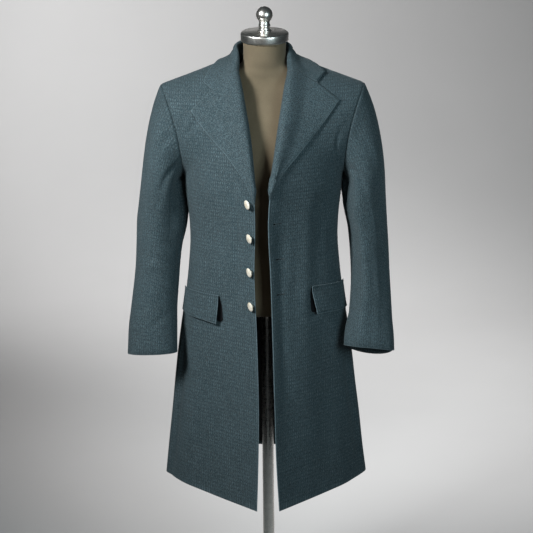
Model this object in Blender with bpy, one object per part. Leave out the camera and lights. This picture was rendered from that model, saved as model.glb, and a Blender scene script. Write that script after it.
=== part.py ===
"""A frock coat on a limbless dress form. Metres, +Z up, the coat's front faces -Y, the floor is z = 0.

The wearer's right is at -X. Each cloth piece is a thin wall on a grid of points: rows run up the
garment, and each row is a curve worked out from the sizes of a section.
"""

import math
from collections import namedtuple

import bmesh
import bpy
import numpy as np
from mathutils import Vector
from mathutils.bvhtree import BVHTree

# ---------------------------------------------------------------- driving sizes
RIGHT, LEFT = -1, 1  # the wearer's sides, which are also the signs of x
SIDE_NAMES = {RIGHT: "right", LEFT: "left"}

COAT_CENTRE = -0.0055  # the coat hangs this far off the form's axis
CLOTH = 0.0022  # wool with its interlining
TURNED_CLOTH = 0.0024  # collar and lapels
LINING = 0.001
SEAM = 0.00025  # each piece stops this far short of its seam line
PLY_GAP = 0.0005  # between one layer and the next

HEM = 0.467
UNDERARM = 1.205
SHOULDER = 1.421
NECK_SIDE = 1.482
NECK_BACK = 1.475
FRONT_DIP = 0.012  # the hem is this much lower at the front corners

SIDE_SEAM = 0.45  # share of the way from centre back to front edge
ARMHOLE_HALF_WIDTH = 0.1865  # at the underarm, from the coat's centre
SHOULDER_SPREAD = 0.0445  # further out at the shoulder point
ARMHOLE_FRONT = 0.083  # scoop of the armhole to the front and to the back
ARMHOLE_BACK = 0.056

# Level sections of the body, hem to underarm. front_turn is how far the cloth swings forward at
# the front edge, in degrees; the reaches are the stiffness of the curve at each end.
Section = namedtuple(
    "Section", "height half_width front_depth back_depth front_turn front_reach side_reach back_fullness"
)
BODY = [
    Section(0.467, 0.2445, 0.217, 0.174, 43, 0.190, 0.022, 0.60),
    Section(0.580, 0.2310, 0.199, 0.163, 43, 0.170, 0.030, 0.60),
    Section(0.690, 0.2180, 0.183, 0.152, 43, 0.150, 0.040, 0.61),
    Section(0.780, 0.2080, 0.170, 0.143, 42, 0.132, 0.050, 0.62),
    Section(0.860, 0.1965, 0.159, 0.135, 41, 0.112, 0.060, 0.62),
    Section(0.920, 0.1870, 0.152, 0.128, 39, 0.097, 0.068, 0.62),
    Section(0.990, 0.1780, 0.147, 0.117, 37, 0.085, 0.072, 0.62),
    Section(1.060, 0.1725, 0.145, 0.107, 34, 0.080, 0.074, 0.62),
    Section(1.130, 0.1760, 0.150, 0.113, 30, 0.082, 0.076, 0.62),
    Section(1.205, 0.1870, 0.156, 0.124, 26, 0.087, 0.080, 0.62),
]

# How far each front edge stays from the coat's centre.
Edge = namedtuple("Edge", "height right left")
FRONT_EDGE = [
    Edge(0.450, 0.0235, 0.0325),
    Edge(0.580, 0.0185, 0.0255),
    Edge(0.700, 0.0165, 0.0225),
    Edge(0.860, 0.0190, 0.0190),
    Edge(1.000, 0.0235, 0.0155),
    Edge(1.090, 0.0210, 0.0115),
    Edge(1.150, 0.0205, 0.0120),
    Edge(1.205, 0.0230, 0.0175),
]

# The front's inner edge above the break: the roll line, then the neck seam to the shoulder.
Roll = namedtuple("Roll", "height right left depth")
ROLL_LINE = [
    Roll(1.205, 0.0230, 0.0175, 0.156),
    Roll(1.270, 0.0275, 0.0280, 0.147),
    Roll(1.330, 0.0345, 0.0380, 0.130),
    Roll(1.385, 0.0445, 0.0480, 0.106),
    Roll(1.430, 0.0530, 0.0565, 0.078),
    Roll(1.456, 0.0600, 0.0640, 0.048),
    Roll(1.474, 0.0670, 0.0705, 0.018),
    Roll(NECK_SIDE, 0.0725, 0.0760, -0.008),
]
GORGE_SHARE = 0.70  # how far up that edge the collar begins

# The centre-back line from the underarm to the nape.
Nape = namedtuple("Nape", "height depth")
CENTRE_BACK = [
    Nape(1.205, 0.124),
    Nape(1.270, 0.128),
    Nape(1.330, 0.126),
    Nape(1.380, 0.117),
    Nape(1.420, 0.104),
    Nape(1.450, 0.089),
    Nape(NECK_BACK, 0.072),
]
BACK_NECK_SHARE = 0.70  # share of the upper back's rows that end on the centre-back seam

# Soft folds. turn is the place round the body, spread its half width in turn, depth is outward.
Fold = namedtuple("Fold", "side turn spread low high depth")
FOLDS = [
    Fold(RIGHT, 0.60, 0.045, 0.560, 0.925, -0.0085),
    Fold(RIGHT, 0.74, 0.070, 0.400, 0.860, 0.0035),
    Fold(LEFT, 0.61, 0.045, 0.600, 0.925, -0.0070),
    Fold(LEFT, 0.76, 0.060, 0.400, 0.820, 0.0030),
    Fold(RIGHT, 0.28, 0.060, 0.380, 0.950, 0.0085),
    Fold(LEFT, 0.28, 0.060, 0.380, 0.950, 0.0085),
    Fold(RIGHT, 0.15, 0.050, 0.380, 0.900, -0.0060),
    Fold(LEFT, 0.15, 0.050, 0.380, 0.900, -0.0060),
]

LINING_HEM = 0.008  # the lining ends this much above the hem

VENT_TOP = 0.960
VENT_LAP = 0.034  # the right back runs this far under the left one
VENT_SINK = 0.0042

# Sleeves, from the upper arm to the cuff: centre line, half width seen from the front, half depth.
Arm = namedtuple("Arm", "height x y half_width half_depth")
SLEEVES = {
    RIGHT: [
        Arm(1.190, 0.2362, -0.003, 0.0480, 0.0700),
        Arm(1.150, 0.2354, 0.001, 0.0540, 0.0690),
        Arm(1.107, 0.2370, 0.003, 0.0580, 0.0675),
        Arm(1.050, 0.2452, 0.003, 0.0545, 0.0650),
        Arm(0.975, 0.2520, -0.005, 0.0525, 0.0600),
        Arm(0.900, 0.2600, -0.024, 0.0540, 0.0530),
        Arm(0.842, 0.2640, -0.043, 0.0570, 0.0470),
        Arm(0.794, 0.2650, -0.060, 0.0585, 0.0420),
    ],
    LEFT: [
        Arm(1.190, 0.2358, -0.003, 0.0474, 0.0700),
        Arm(1.152, 0.2350, 0.001, 0.0503, 0.0690),
        Arm(1.080, 0.2437, 0.003, 0.0460, 0.0665),
        Arm(0.973, 0.2493, -0.012, 0.0460, 0.0600),
        Arm(0.887, 0.2485, -0.043, 0.0503, 0.0520),
        Arm(0.845, 0.2450, -0.062, 0.0565, 0.0470),
        Arm(0.809, 0.2435, -0.081, 0.0590, 0.0420),
    ],
}
SLEEVE_GAP = 0.0006  # between the armhole's edge and the sleeve
UNDERARM_GAP = 0.0008  # more of it under the arm
CUFF_SLANT = {RIGHT: 0.002, LEFT: 0.006}  # the cuff's inner side is this much higher than its middle
TOP_SLEEVE_FROM = -82  # hind seam and front seam, in degrees round the arm from its outside
TOP_SLEEVE_TO = 118

# Lapels: where each row of the turned-out facing bends and ends, in the front view.
Lapel = namedtuple("Lapel", "share bend_x bend_z edge_x edge_z")
LAPELS = {
    RIGHT: [
        Lapel(0.00, 0.0260, 1.1950, 0.028, 1.1870),
        Lapel(0.20, 0.040, 1.2400, 0.047, 1.2280),
        Lapel(0.45, 0.067, 1.2980, 0.083, 1.2800),
        Lapel(0.75, 0.098, 1.3740, 0.122, 1.3340),
        Lapel(1.00, 0.1125, 1.4150, 0.1555, 1.3740),
    ],
    LEFT: [
        Lapel(0.00, 0.0205, 1.1950, 0.022, 1.1870),
        Lapel(0.20, 0.037, 1.2460, 0.042, 1.2350),
        Lapel(0.45, 0.071, 1.3100, 0.086, 1.2920),
        Lapel(0.75, 0.106, 1.3820, 0.134, 1.3490),
        Lapel(1.00, 0.121, 1.4270, 0.1695, 1.3930),
    ],
}
ROLL_RADIUS = 0.0046
ROLL_LIFT = 0.0035  # the lapel stands off the chest by this much more near its roll
TURN_IN = 0.010  # what is tucked behind the front's edge

# Collar, from centre back to the gorge: inside seam, fold, middle of the fall, outer edge.
Collar = namedtuple("Collar", "share seam fold bend outer")
COLLARS = {
    RIGHT: [
        Collar(
            0.00,
            seam=(0.000, 0.0665, 1.4700), fold=(0.000, 0.0715, 1.5140),
            bend=(0.000, 0.0850, 1.4900), outer=(0.000, 0.0940, 1.4600),
        ),
        Collar(
            0.22,
            seam=(0.036, 0.0560, 1.4700), fold=(0.037, 0.0610, 1.5130),
            bend=(0.045, 0.0720, 1.4890), outer=(0.052, 0.0830, 1.4630),
        ),
        Collar(
            0.45,
            seam=(0.064, 0.0200, 1.4740), fold=(0.060, 0.0210, 1.5060),
            bend=(0.072, 0.0300, 1.4850), outer=(0.088, 0.0410, 1.4680),
        ),
        Collar(
            0.62,
            seam=(0.063, -0.0060, 1.4730), fold=(0.0575, -0.0100, 1.4975),
            bend=(0.073, -0.0050, 1.4800), outer=(0.103, 0.0080, 1.4670),
        ),
        Collar(
            0.82,
            seam=(0.060, -0.0300, 1.4610), fold=(0.0535, -0.0370, 1.4740),
            bend=(0.084, -0.0340, 1.4590), outer=(0.119, -0.0200, 1.4540),
        ),
        Collar(
            1.00,
            seam=(0.058, -0.0470, 1.4480), fold=(0.0500, -0.0560, 1.4545),
            bend=(0.1125, -0.0660, 1.4147), outer=(0.132, -0.0470, 1.4315),
        ),
    ],
    LEFT: [
        Collar(
            0.00,
            seam=(0.000, 0.0665, 1.4700), fold=(0.000, 0.0715, 1.5140),
            bend=(0.000, 0.0850, 1.4900), outer=(0.000, 0.0940, 1.4600),
        ),
        Collar(
            0.22,
            seam=(0.036, 0.0560, 1.4700), fold=(0.037, 0.0610, 1.5130),
            bend=(0.045, 0.0720, 1.4890), outer=(0.052, 0.0830, 1.4630),
        ),
        Collar(
            0.45,
            seam=(0.066, 0.0200, 1.4740), fold=(0.062, 0.0210, 1.5060),
            bend=(0.075, 0.0300, 1.4850), outer=(0.091, 0.0430, 1.4670),
        ),
        Collar(
            0.62,
            seam=(0.066, -0.0060, 1.4730), fold=(0.0615, -0.0100, 1.4975),
            bend=(0.079, -0.0030, 1.4810), outer=(0.108, 0.0150, 1.4660),
        ),
        Collar(
            0.82,
            seam=(0.063, -0.0300, 1.4610), fold=(0.0575, -0.0370, 1.4740),
            bend=(0.090, -0.0240, 1.4655), outer=(0.127, -0.0020, 1.4600),
        ),
        Collar(
            1.00,
            seam=(0.061, -0.0470, 1.4480), fold=(0.0535, -0.0560, 1.4545),
            bend=(0.1190, -0.0530, 1.4290), outer=(0.141, -0.0210, 1.4465),
        ),
    ],
}
COLLAR_SLACK = 0.012  # the fall may stand this far off the shoulder near its fold, and lies down at its edge

# Pocket flaps: front and rear ends as places round the body, and heights.
Flap = namedtuple("Flap", "front rear front_low_shift front_top rear_top front_drop rear_drop")
FLAPS = {
    RIGHT: Flap(0.812, 0.545, 0.006, 0.9445, 0.9440, 0.0675, 0.0570),
    LEFT: Flap(0.794, 0.530, -0.006, 0.9640, 0.9560, 0.0680, 0.0660),
}

BUTTON_RADIUS = 0.011
BUTTON_HEIGHT = 0.0095  # with its shank
SHANK_HEIGHT = 0.0050
SHANK_RADIUS = 0.0030
BUTTON_GAP = 0.0008
BUTTON_TURN = math.radians(60)  # each button hangs turned to its own side
BUTTON_DROOP = math.radians(9)
ButtonPlace = namedtuple("ButtonPlace", "height inset")  # inset: from the front edge, along the cloth
BUTTONS = [
    ButtonPlace(1.1735, 0.0105),
    ButtonPlace(1.0930, 0.0070),
    ButtonPlace(1.0130, 0.0052),
    ButtonPlace(0.9330, 0.0050),
]

# The dress form: level sections from its foot to the top of its neck.
Ring = namedtuple("Ring", "height half_width half_depth centre_y square")
TORSO = [
    Ring(0.889, 0.149, 0.096, 0.002, 2.0),
    Ring(0.893, 0.155, 0.101, 0.002, 2.0),
    Ring(0.930, 0.158, 0.103, 0.001, 2.0),
    Ring(0.990, 0.148, 0.096, 0.000, 2.0),
    Ring(1.060, 0.139, 0.090, -0.003, 2.0),
    Ring(1.130, 0.146, 0.096, -0.003, 2.05),
    Ring(1.200, 0.156, 0.103, -0.003, 2.1),
    Ring(1.265, 0.163, 0.105, 0.001, 2.2),
    Ring(1.320, 0.170, 0.100, 0.005, 2.25),
    Ring(1.365, 0.176, 0.087, 0.009, 2.3),
    Ring(1.398, 0.177, 0.068, 0.011, 2.2),
    Ring(1.420, 0.162, 0.052, 0.010, 2.0),
    Ring(1.436, 0.132, 0.046, 0.008, 1.9),
    Ring(1.449, 0.086, 0.046, 0.006, 1.9),
    Ring(1.461, 0.061, 0.047, 0.005, 2.0),
    Ring(1.475, 0.0510, 0.0480, 0.002, 2.0),
    Ring(1.494, 0.0488, 0.0490, 0.001, 2.0),
    Ring(1.519, 0.0490, 0.0490, 0.000, 2.0),
]
NECK_TILT = math.radians(4.5)  # the neck's top slopes down to the front
CAP_PROFILE = [  # radius and height above the neck's top
    (0.0535, 0.0),
    (0.0550, 0.0025),
    (0.0550, 0.0165),
    (0.0540, 0.0190),
    (0.0510, 0.0202),
]
FINIAL_PROFILE = [  # radius and height above the cap, with the ball added on top
    (0.0160, 0.0003),
    (0.0166, 0.0020),
    (0.0160, 0.0040),
    (0.0128, 0.0050),
    (0.0122, 0.0105),
    (0.0136, 0.0125),
    (0.0138, 0.0155),
    (0.0118, 0.0178),
    (0.0122, 0.0230),
]
BALL_RADIUS = 0.019
BALL_HEIGHT = 0.0385
POLE_RADIUS = 0.014
BASE_PROFILE = [
    (0.168, 0.0),
    (0.170, 0.002),
    (0.170, 0.008),
    (0.166, 0.011),
    (0.050, 0.016),
]
SOCKET_PROFILE = [
    (0.034, 0.0),
    (0.034, 0.003),
    (0.025, 0.009),
    (0.024, 0.036),
    (0.021, 0.039),
]

# Grid counts.
BODY_ROWS = 12
YOKE_ROWS = 10
BODY_COLUMNS = 12
LINING_ROWS = 10
UNDERLAP_COLUMNS = 2
CROWN_ROWS = 6
ARM_ROWS = 10
TOP_SLEEVE_STEPS = 12
UNDER_SLEEVE_STEPS = 10
LAPEL_ROWS = 12
COLLAR_HALF_ROWS = 11
LEG_STEPS = 6  # steps of a collar's or lapel's outer leg
AROUND = 28  # sides of the turned and lofted forms

# Colours, as linear RGB, with roughness and metallic value.
WOOL = (0.040, 0.062, 0.072, 0.92, 0.0)
SATIN = (0.006, 0.006, 0.008, 0.45, 0.0)
PEARL = (0.74, 0.72, 0.64, 0.28, 0.0)
CANVAS = (0.62, 0.53, 0.36, 0.90, 0.0)
STEEL = (0.62, 0.61, 0.59, 0.25, 1.0)


# ---------------------------------------------------------------- small helpers
def smooth_step(value):
    value = min(1.0, max(0.0, value))
    return value * value * (3 - 2 * value)


def along(table, key, value, at):
    """The named column of a table where the key column has the value at, as a smooth curve."""
    keys = [getattr(row, key) for row in table]
    values = [getattr(row, value) for row in table]
    last = len(keys) - 1
    at = min(max(at, keys[0]), keys[-1])
    i = max(k for k in range(last) if keys[k] <= at)

    def slope(k):
        a, b = max(k - 1, 0), min(k + 1, last)
        return (values[b] - values[a]) / (keys[b] - keys[a])

    span = keys[i + 1] - keys[i]
    t = (at - keys[i]) / span
    return (
        values[i] * (1 + 2 * t) * (1 - t) ** 2
        + slope(i) * span * t * (1 - t) ** 2
        + values[i + 1] * t * t * (3 - 2 * t)
        + slope(i + 1) * span * t * t * (t - 1)
    )


def bezier(a, b, c, d, t):
    s = 1 - t
    return a * s**3 + b * (3 * s * s * t) + c * (3 * s * t * t) + d * t**3


def unit_rows(vectors):
    """Each vector of an array, or the one vector, at length 1."""
    return vectors / np.linalg.norm(vectors, axis=-1, keepdims=True)


def grid_normals(grid):
    """A unit normal for each point of a grid (rows, columns, 3), to the side of columns x rows."""
    return unit_rows(np.cross(np.gradient(grid, axis=1), np.gradient(grid, axis=0)))


def make_object(name, points, faces, finish, smooth_angle=40):
    mesh = bpy.data.meshes.new(name)
    mesh.from_pydata([tuple(p) for p in points], [], faces)
    mesh.validate()
    bm = bmesh.new()
    bm.from_mesh(mesh)
    bmesh.ops.recalc_face_normals(bm, faces=bm.faces)
    bm.to_mesh(mesh)
    bm.free()
    mesh.shade_smooth()
    mesh.set_sharp_from_angle(angle=math.radians(smooth_angle))
    mesh.materials.append(finish)
    obj = bpy.data.objects.new(name, mesh)
    bpy.context.scene.collection.objects.link(obj)
    return obj


def wall(name, grid, thickness, finish, inward):
    """A closed cloth wall on a grid of outer points. inward is the same grid's unit inward directions."""
    rows, columns = grid.shape[:2]
    outer = grid.reshape(-1, 3)
    inner = (grid + inward * thickness).reshape(-1, 3)
    shift = rows * columns

    def at(row, column, layer):
        return layer * shift + row * columns + column

    faces = []
    for r in range(rows - 1):
        for c in range(columns - 1):
            faces.append((at(r, c, 0), at(r, c + 1, 0), at(r + 1, c + 1, 0), at(r + 1, c, 0)))
            faces.append((at(r, c, 1), at(r + 1, c, 1), at(r + 1, c + 1, 1), at(r, c + 1, 1)))
    rim = [(0, c) for c in range(columns)]
    rim += [(r, columns - 1) for r in range(1, rows)]
    rim += [(rows - 1, c) for c in range(columns - 2, -1, -1)]
    rim += [(r, 0) for r in range(rows - 2, 0, -1)]
    for here, there in zip(rim, rim[1:] + rim[:1]):
        faces.append((at(*here, 0), at(*here, 1), at(*there, 1), at(*there, 0)))
    return make_object(name, np.vstack([outer, inner]), faces, finish)


def finish_of(name, values):
    material = bpy.data.materials.new(name)
    material.use_nodes = True
    shader = material.node_tree.nodes["Principled BSDF"]
    shader.inputs["Base Color"].default_value = (*values[:3], 1)
    shader.inputs["Roughness"].default_value = values[3]
    shader.inputs["Metallic"].default_value = values[4]
    material.diffuse_color = (*values[:3], 1)
    return material


def turned(name, profile, finish, centre=(0, 0, 0), tilt=0.0, sides=AROUND):
    """A closed solid turned on the z axis from a profile of (radius, height), bottom to top."""
    points = [(0, 0, profile[0][1])]
    for radius, height in profile:
        for k in range(sides):
            angle = 2 * math.pi * k / sides
            points.append((radius * math.cos(angle), radius * math.sin(angle), height))
    points.append((0, 0, profile[-1][1]))
    faces = []
    for k in range(sides):
        nxt = (k + 1) % sides
        faces.append((0, 1 + nxt, 1 + k))
        for ring in range(len(profile) - 1):
            a, b = 1 + ring * sides, 1 + (ring + 1) * sides
            faces.append((a + k, a + nxt, b + nxt, b + k))
        top = 1 + (len(profile) - 1) * sides
        faces.append((top + k, top + nxt, len(points) - 1))
    obj = make_object(name, points, faces, finish, smooth_angle=35)
    obj.location = centre
    obj.rotation_euler = (tilt, 0, 0)
    return obj


# ---------------------------------------------------------------- the coat's body
def edge_inset(side, height):
    """How far the front edge is from the coat's centre."""
    return along(FRONT_EDGE, "height", SIDE_NAMES[side], height)


def body_point(side, turn, height):
    """A point of the body's outer face. turn is 0 at centre back, 0.5 at the side, 1 at the front edge."""
    width = along(BODY, "height", "half_width", height)
    if turn < 0.5:
        depth = along(BODY, "height", "back_depth", height)
        full = along(BODY, "height", "back_fullness", height)
        corner = [(0, depth), (full * width, depth), (width, full * depth), (width, 0)]
        x, y = bezier(*[np.array(p) for p in corner], turn * 2)
    else:
        depth = along(BODY, "height", "front_depth", height)
        reach = along(BODY, "height", "front_reach", height)
        swing = math.radians(along(BODY, "height", "front_turn", height))
        edge = np.array((edge_inset(side, height), -depth))
        lean = edge + reach * np.array((math.cos(swing), math.sin(swing)))
        start = np.array((width, 0.0))
        stiff = np.array((width, -along(BODY, "height", "side_reach", height)))
        x, y = bezier(start, stiff, lean, edge, turn * 2 - 1)
    hem_weight = smooth_step(1 - (height - HEM) / 0.25)
    z = height - FRONT_DIP * hem_weight * smooth_step((turn - 0.5) / 0.5)
    push = sum(fold_push(fold, side, turn, height) for fold in FOLDS)
    out = np.array((x / width, y / max(depth, 0.01)))
    out /= np.linalg.norm(out)
    return np.array((COAT_CENTRE + side * (x + out[0] * push), y + out[1] * push, z))


def fold_push(fold, side, turn, height):
    """How far a soft fold moves a point out, or in if it is a trough."""
    if fold.side != side or abs(turn - fold.turn) > 2.5 * fold.spread:
        return 0.0
    fade = smooth_step((fold.high - height) / 0.22) * smooth_step((height - fold.low + 0.16) / 0.16)
    return fold.depth * fade * math.exp(-(((turn - fold.turn) / fold.spread) ** 2) * 1.2)


def armhole_point(side, turn, front):
    """A point of the armhole, from turn -90 at the underarm to 90 at the shoulder point."""
    angle = math.radians(turn)
    middle, half = (SHOULDER + UNDERARM) / 2, (SHOULDER - UNDERARM) / 2
    height = middle + half * math.sin(angle)
    share = (height - UNDERARM) / (SHOULDER - UNDERARM)
    centre = 0.021 - 0.015 * share
    scoop = -ARMHOLE_FRONT if front else ARMHOLE_BACK
    x = ARMHOLE_HALF_WIDTH + SHOULDER_SPREAD * share**2.2
    return np.array((COAT_CENTRE + side * x, centre + scoop * math.cos(angle), height))


def roll_point(side, share):
    """A point of the front's inner edge, from the break (0) to the shoulder at the neck (1)."""
    height = 1.205 + (NECK_SIDE - 1.205) * math.sin(max(share, 0) * math.pi / 2) ** 0.92
    x = along(ROLL_LINE, "height", SIDE_NAMES[side], height)
    return np.array((COAT_CENTRE + side * x, -along(ROLL_LINE, "height", "depth", height), height))


def back_inner_point(side, share):
    """A point of the back's inner edge: up the centre back to the nape, then round the neck."""
    if share <= BACK_NECK_SHARE:
        height = UNDERARM + (NECK_BACK - UNDERARM) * (share / BACK_NECK_SHARE) ** 0.9
        return np.array((COAT_CENTRE, along(CENTRE_BACK, "height", "depth", height), height))
    t = (share - BACK_NECK_SHARE) / (1 - BACK_NECK_SHARE)
    nape = np.array((COAT_CENTRE, CENTRE_BACK[-1].depth, NECK_BACK))
    side_neck = roll_point(side, 1.0)
    width = abs(side_neck[0] - COAT_CENTRE)
    reach = nape + np.array((side * 0.55 * width, 0, 0))
    rise = side_neck + np.array((side * 0.004, 0.55 * (nape[1] - side_neck[1]), -0.002))
    return bezier(nape, reach, rise, side_neck, t)


def yoke_row(side, share, columns, front):
    """A row above the underarm, from the armhole to the neck or the centre line, as columns points."""
    outer = armhole_point(side, -90 + 180 * share, front)
    inner = roll_point(side, share) if front else back_inner_point(side, share)
    ahead = -1 if front else 1
    chord = np.linalg.norm(inner - outer)
    swing = math.radians(90 * share**0.62)
    leave = np.array((-side * math.sin(swing), ahead * math.cos(swing), 0))
    arrive = math.radians(27 * (1 - share) ** 2) if front else 0.0
    come = np.array((side * math.cos(arrive), -ahead * math.sin(arrive), 0))
    slope = (inner[2] - outer[2]) / 3
    squared = 0.003 * smooth_step((share - 0.6) / 0.4)
    hollow = 0.008 * smooth_step((share - 0.7) / 0.3)
    first = outer + leave * chord * 0.36 + np.array((0, 0, slope + squared))
    second = inner + come * chord * 0.36 + np.array((0, 0, -slope - hollow))
    return [bezier(outer, first, second, inner, t) for t in columns]


def body_sheet(side, turns, heights):
    """A grid of the body's outer face at these places round it and these heights."""
    return np.array([[body_point(side, turn, height) for turn in turns] for height in heights])


def panel_grid(side, front, body_rows=BODY_ROWS, yoke_rows=YOKE_ROWS, columns=BODY_COLUMNS):
    """A panel's outer face: side seam to front edge or centre back, hem to shoulder seam."""
    inner_turn = 1.0 if front else 0.0
    turns = np.linspace(SIDE_SEAM, inner_turn, columns)
    lower = body_sheet(side, turns, np.linspace(HEM, UNDERARM, body_rows + 1))
    shares = np.linspace(0, 1, columns)
    upper = [yoke_row(side, r / yoke_rows, shares, front) for r in range(1, yoke_rows + 1)]
    return np.vstack([lower, upper])


def share_seams(side, front_in, back_in, back):
    """Both sides of a seam get one inward direction, so that their walls meet edge to edge."""
    rows = slice(0, BODY_ROWS + 1)
    sewn = unit_rows(front_in[rows, 0] + back_in[rows, 0])
    front_in[rows, 0] = back_in[rows, 0] = sewn
    sewn = unit_rows(front_in[-1] + back_in[-1])
    front_in[-1] = back_in[-1] = sewn
    centre = np.abs(back[:, -1, 0] - COAT_CENTRE) < 1e-6
    back_in[centre, -1, 0] = 0
    back_in[:, -1] = unit_rows(back_in[:, -1])


def pull_back(grid, first_row=0.0, last_row=0.0, first_column=0.0, last_column=0.0):
    """The same grid with its borders moved in along the cloth, to leave a seam gap."""
    out = grid.copy()
    for edge, beside, amount in (
        ((slice(None), 0), (slice(None), 1), first_column),
        ((slice(None), -1), (slice(None), -2), last_column),
        ((0,), (1,), first_row),
        ((-1,), (-2,), last_row),
    ):
        out[edge] += unit_rows(grid[beside] - grid[edge]) * amount
    return out


def lap_vent(grid):
    """Below the waist the right back runs on past the centre, sunk under the left one."""
    x, y, z = np.moveaxis(grid, 2, 0)
    near = np.vectorize(smooth_step)(1 - np.abs(x - COAT_CENTRE) / 0.075)
    sunk = np.vectorize(smooth_step)((VENT_TOP + 0.040 - z) / 0.040)
    lapped = np.vectorize(smooth_step)((VENT_TOP - 0.010 - z) / 0.050)
    return np.stack([x + VENT_LAP * lapped * near, y - VENT_SINK * sunk * near, z], axis=2)


def build_body(wool):
    """Fronts and backs. Returns the fronts' and backs' outer grids, to place the other pieces on."""
    grids = {}
    for side in (RIGHT, LEFT):
        name = SIDE_NAMES[side]
        front = panel_grid(side, front=True)
        back = panel_grid(side, front=False)
        front_in = side * grid_normals(front)
        back_in = -side * grid_normals(back)
        share_seams(side, front_in, back_in, back)
        shown = pull_back(front, last_row=SEAM, first_column=SEAM)
        wall(f"front_{name}", shown, CLOTH, wool, front_in)
        shown = pull_back(back, last_row=SEAM, first_column=SEAM, last_column=SEAM)
        if side == RIGHT:
            shown = lap_vent(shown)
        wall(f"back_{name}", shown, CLOTH, wool, back_in)
        grids["front", side] = front
        grids["back", side] = back
    return grids


def build_lining(grids, satin):
    """The lining of the back's skirt, inside the back. The left one stops short of the vent's underlap."""
    for side in (RIGHT, LEFT):
        back = grids["back", side]
        inward = -side * grid_normals(back)
        rows, columns = slice(0, LINING_ROWS), slice(0, None if side == RIGHT else -UNDERLAP_COLUMNS)
        shown = lap_vent(back) if side == RIGHT else back
        laid = (shown + inward * (CLOTH + PLY_GAP))[rows, columns]
        laid = pull_back(laid, first_row=LINING_HEM, first_column=0.004, last_column=0.005)
        wall(f"lining_{SIDE_NAMES[side]}", laid, LINING, satin, inward[rows, columns])


# ---------------------------------------------------------------- sleeves
def arm_ring(side, height, angle):
    """A point of the sleeve below the underarm. angle is 0 outside, 90 in front, 180 inside."""
    table = SLEEVES[side][::-1]
    x, y, wide, deep = (
        along(table, "height", column, height) for column in ("x", "y", "half_width", "half_depth")
    )
    step = 0.004
    low, high = height - step, height + step
    lean = (along(table, "height", "y", high) - along(table, "height", "y", low)) / (2 * step)
    tip = (along(table, "height", "x", high) - along(table, "height", "x", low)) / (2 * step)
    a = math.radians(angle)
    across, ahead = wide * math.cos(a), -deep * math.sin(a)
    slant = CUFF_SLANT[side] * smooth_step(1 - (height - table[0].height) / 0.08) * math.cos(a)
    return np.array((COAT_CENTRE + side * (x + across), y + ahead, height - lean * ahead - tip * across - slant))


def crown_start(side, angle):
    """The armhole's point that a thread of the sleeve leaves from, a seam's gap further out."""
    angle %= 360
    front = angle <= 180
    turn = 90 - angle if front else angle - 270
    gap = SLEEVE_GAP + UNDERARM_GAP * smooth_step((-40 - turn) / 50)
    return armhole_point(side, turn, front) + np.array((side * gap, 0, 0))


def sleeve_thread(side, angle, crown_rows, arm_rows):
    """Points of the sleeve from the armhole to the cuff at one angle round the arm."""
    start = crown_start(side, angle)
    top = SLEEVES[side][0].height
    end = arm_ring(side, top, angle)
    down = unit_rows(arm_ring(side, top - 0.01, angle) - end)
    chord = np.linalg.norm(end - start)
    up = (start[2] - UNDERARM) / (SHOULDER - UNDERARM)
    leave = unit_rows(np.array((side, 0, -0.7 - 0.8 * up)))
    first = start + leave * (0.22 * chord + 0.002)
    second = end - down * chord * 0.42
    points = [bezier(start, first, second, end, (r / crown_rows) ** 1.25) for r in range(crown_rows)]
    cuff = SLEEVES[side][-1].height
    return points + [arm_ring(side, height, angle) for height in np.linspace(top, cuff, arm_rows + 1)]


def sleeve_angles(top_steps, under_steps):
    top = np.linspace(TOP_SLEEVE_FROM, TOP_SLEEVE_TO, top_steps + 1)
    under = np.linspace(TOP_SLEEVE_TO, TOP_SLEEVE_FROM + 360, under_steps + 1)
    return np.concatenate([top[:-1], under[:-1]])


def tube_normals(grid):
    """Unit normals of a grid whose columns close into a ring."""
    across = np.roll(grid, -1, axis=1) - np.roll(grid, 1, axis=1)
    return unit_rows(np.cross(across, np.gradient(grid, axis=0)))


def build_sleeves(wool):
    for side in (RIGHT, LEFT):
        angles = sleeve_angles(TOP_SLEEVE_STEPS, UNDER_SLEEVE_STEPS)
        threads = [sleeve_thread(side, angle, CROWN_ROWS, ARM_ROWS) for angle in angles]
        tube = np.array(threads).transpose(1, 0, 2)
        inward = -side * tube_normals(tube)
        inward[0, :, 0] = 0
        inward[0] = unit_rows(inward[0])
        count = len(angles)
        for part, columns in (
            ("top", np.arange(TOP_SLEEVE_STEPS + 1)),
            ("under", np.arange(TOP_SLEEVE_STEPS, count + 1) % count),
        ):
            shown = pull_back(tube[:, columns], first_column=SEAM, last_column=SEAM)
            wall(f"sleeve_{SIDE_NAMES[side]}_{part}", shown, CLOTH, wool, inward[:, columns])


# ---------------------------------------------------------------- collar and lapels
def surface_tree(grids):
    """A search tree over the outer faces of the body's panels."""
    points, faces = [], []
    for grid in grids:
        rows, columns = grid.shape[:2]
        base = len(points)
        points += [Vector(p) for p in grid.reshape(-1, 3)]
        for r in range(rows - 1):
            for c in range(columns - 1):
                a = base + r * columns + c
                faces.append((a, a + 1, a + columns + 1, a + columns))
    return BVHTree.FromPolygons(points, faces)


def outward_normal(point, normal):
    """The face normal that points away from the body's axis at that height."""
    middle = Vector((COAT_CENTRE, 0, min(point.z, 1.36)))
    return normal if normal.dot(point - middle) > 0 else -normal


def on_chest(tree, side, x, z, lift):
    """The chest's point at x and z in the front view, moved out by lift."""
    start = Vector((COAT_CENTRE + side * x, -1.0, z))
    found, normal, _, _ = tree.ray_cast(start, Vector((0, 1, 0)))
    if found is None:
        found, normal, _, _ = tree.find_nearest(Vector((start.x, -0.1, z)))
    return np.array(found + outward_normal(found, normal) * lift)


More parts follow.
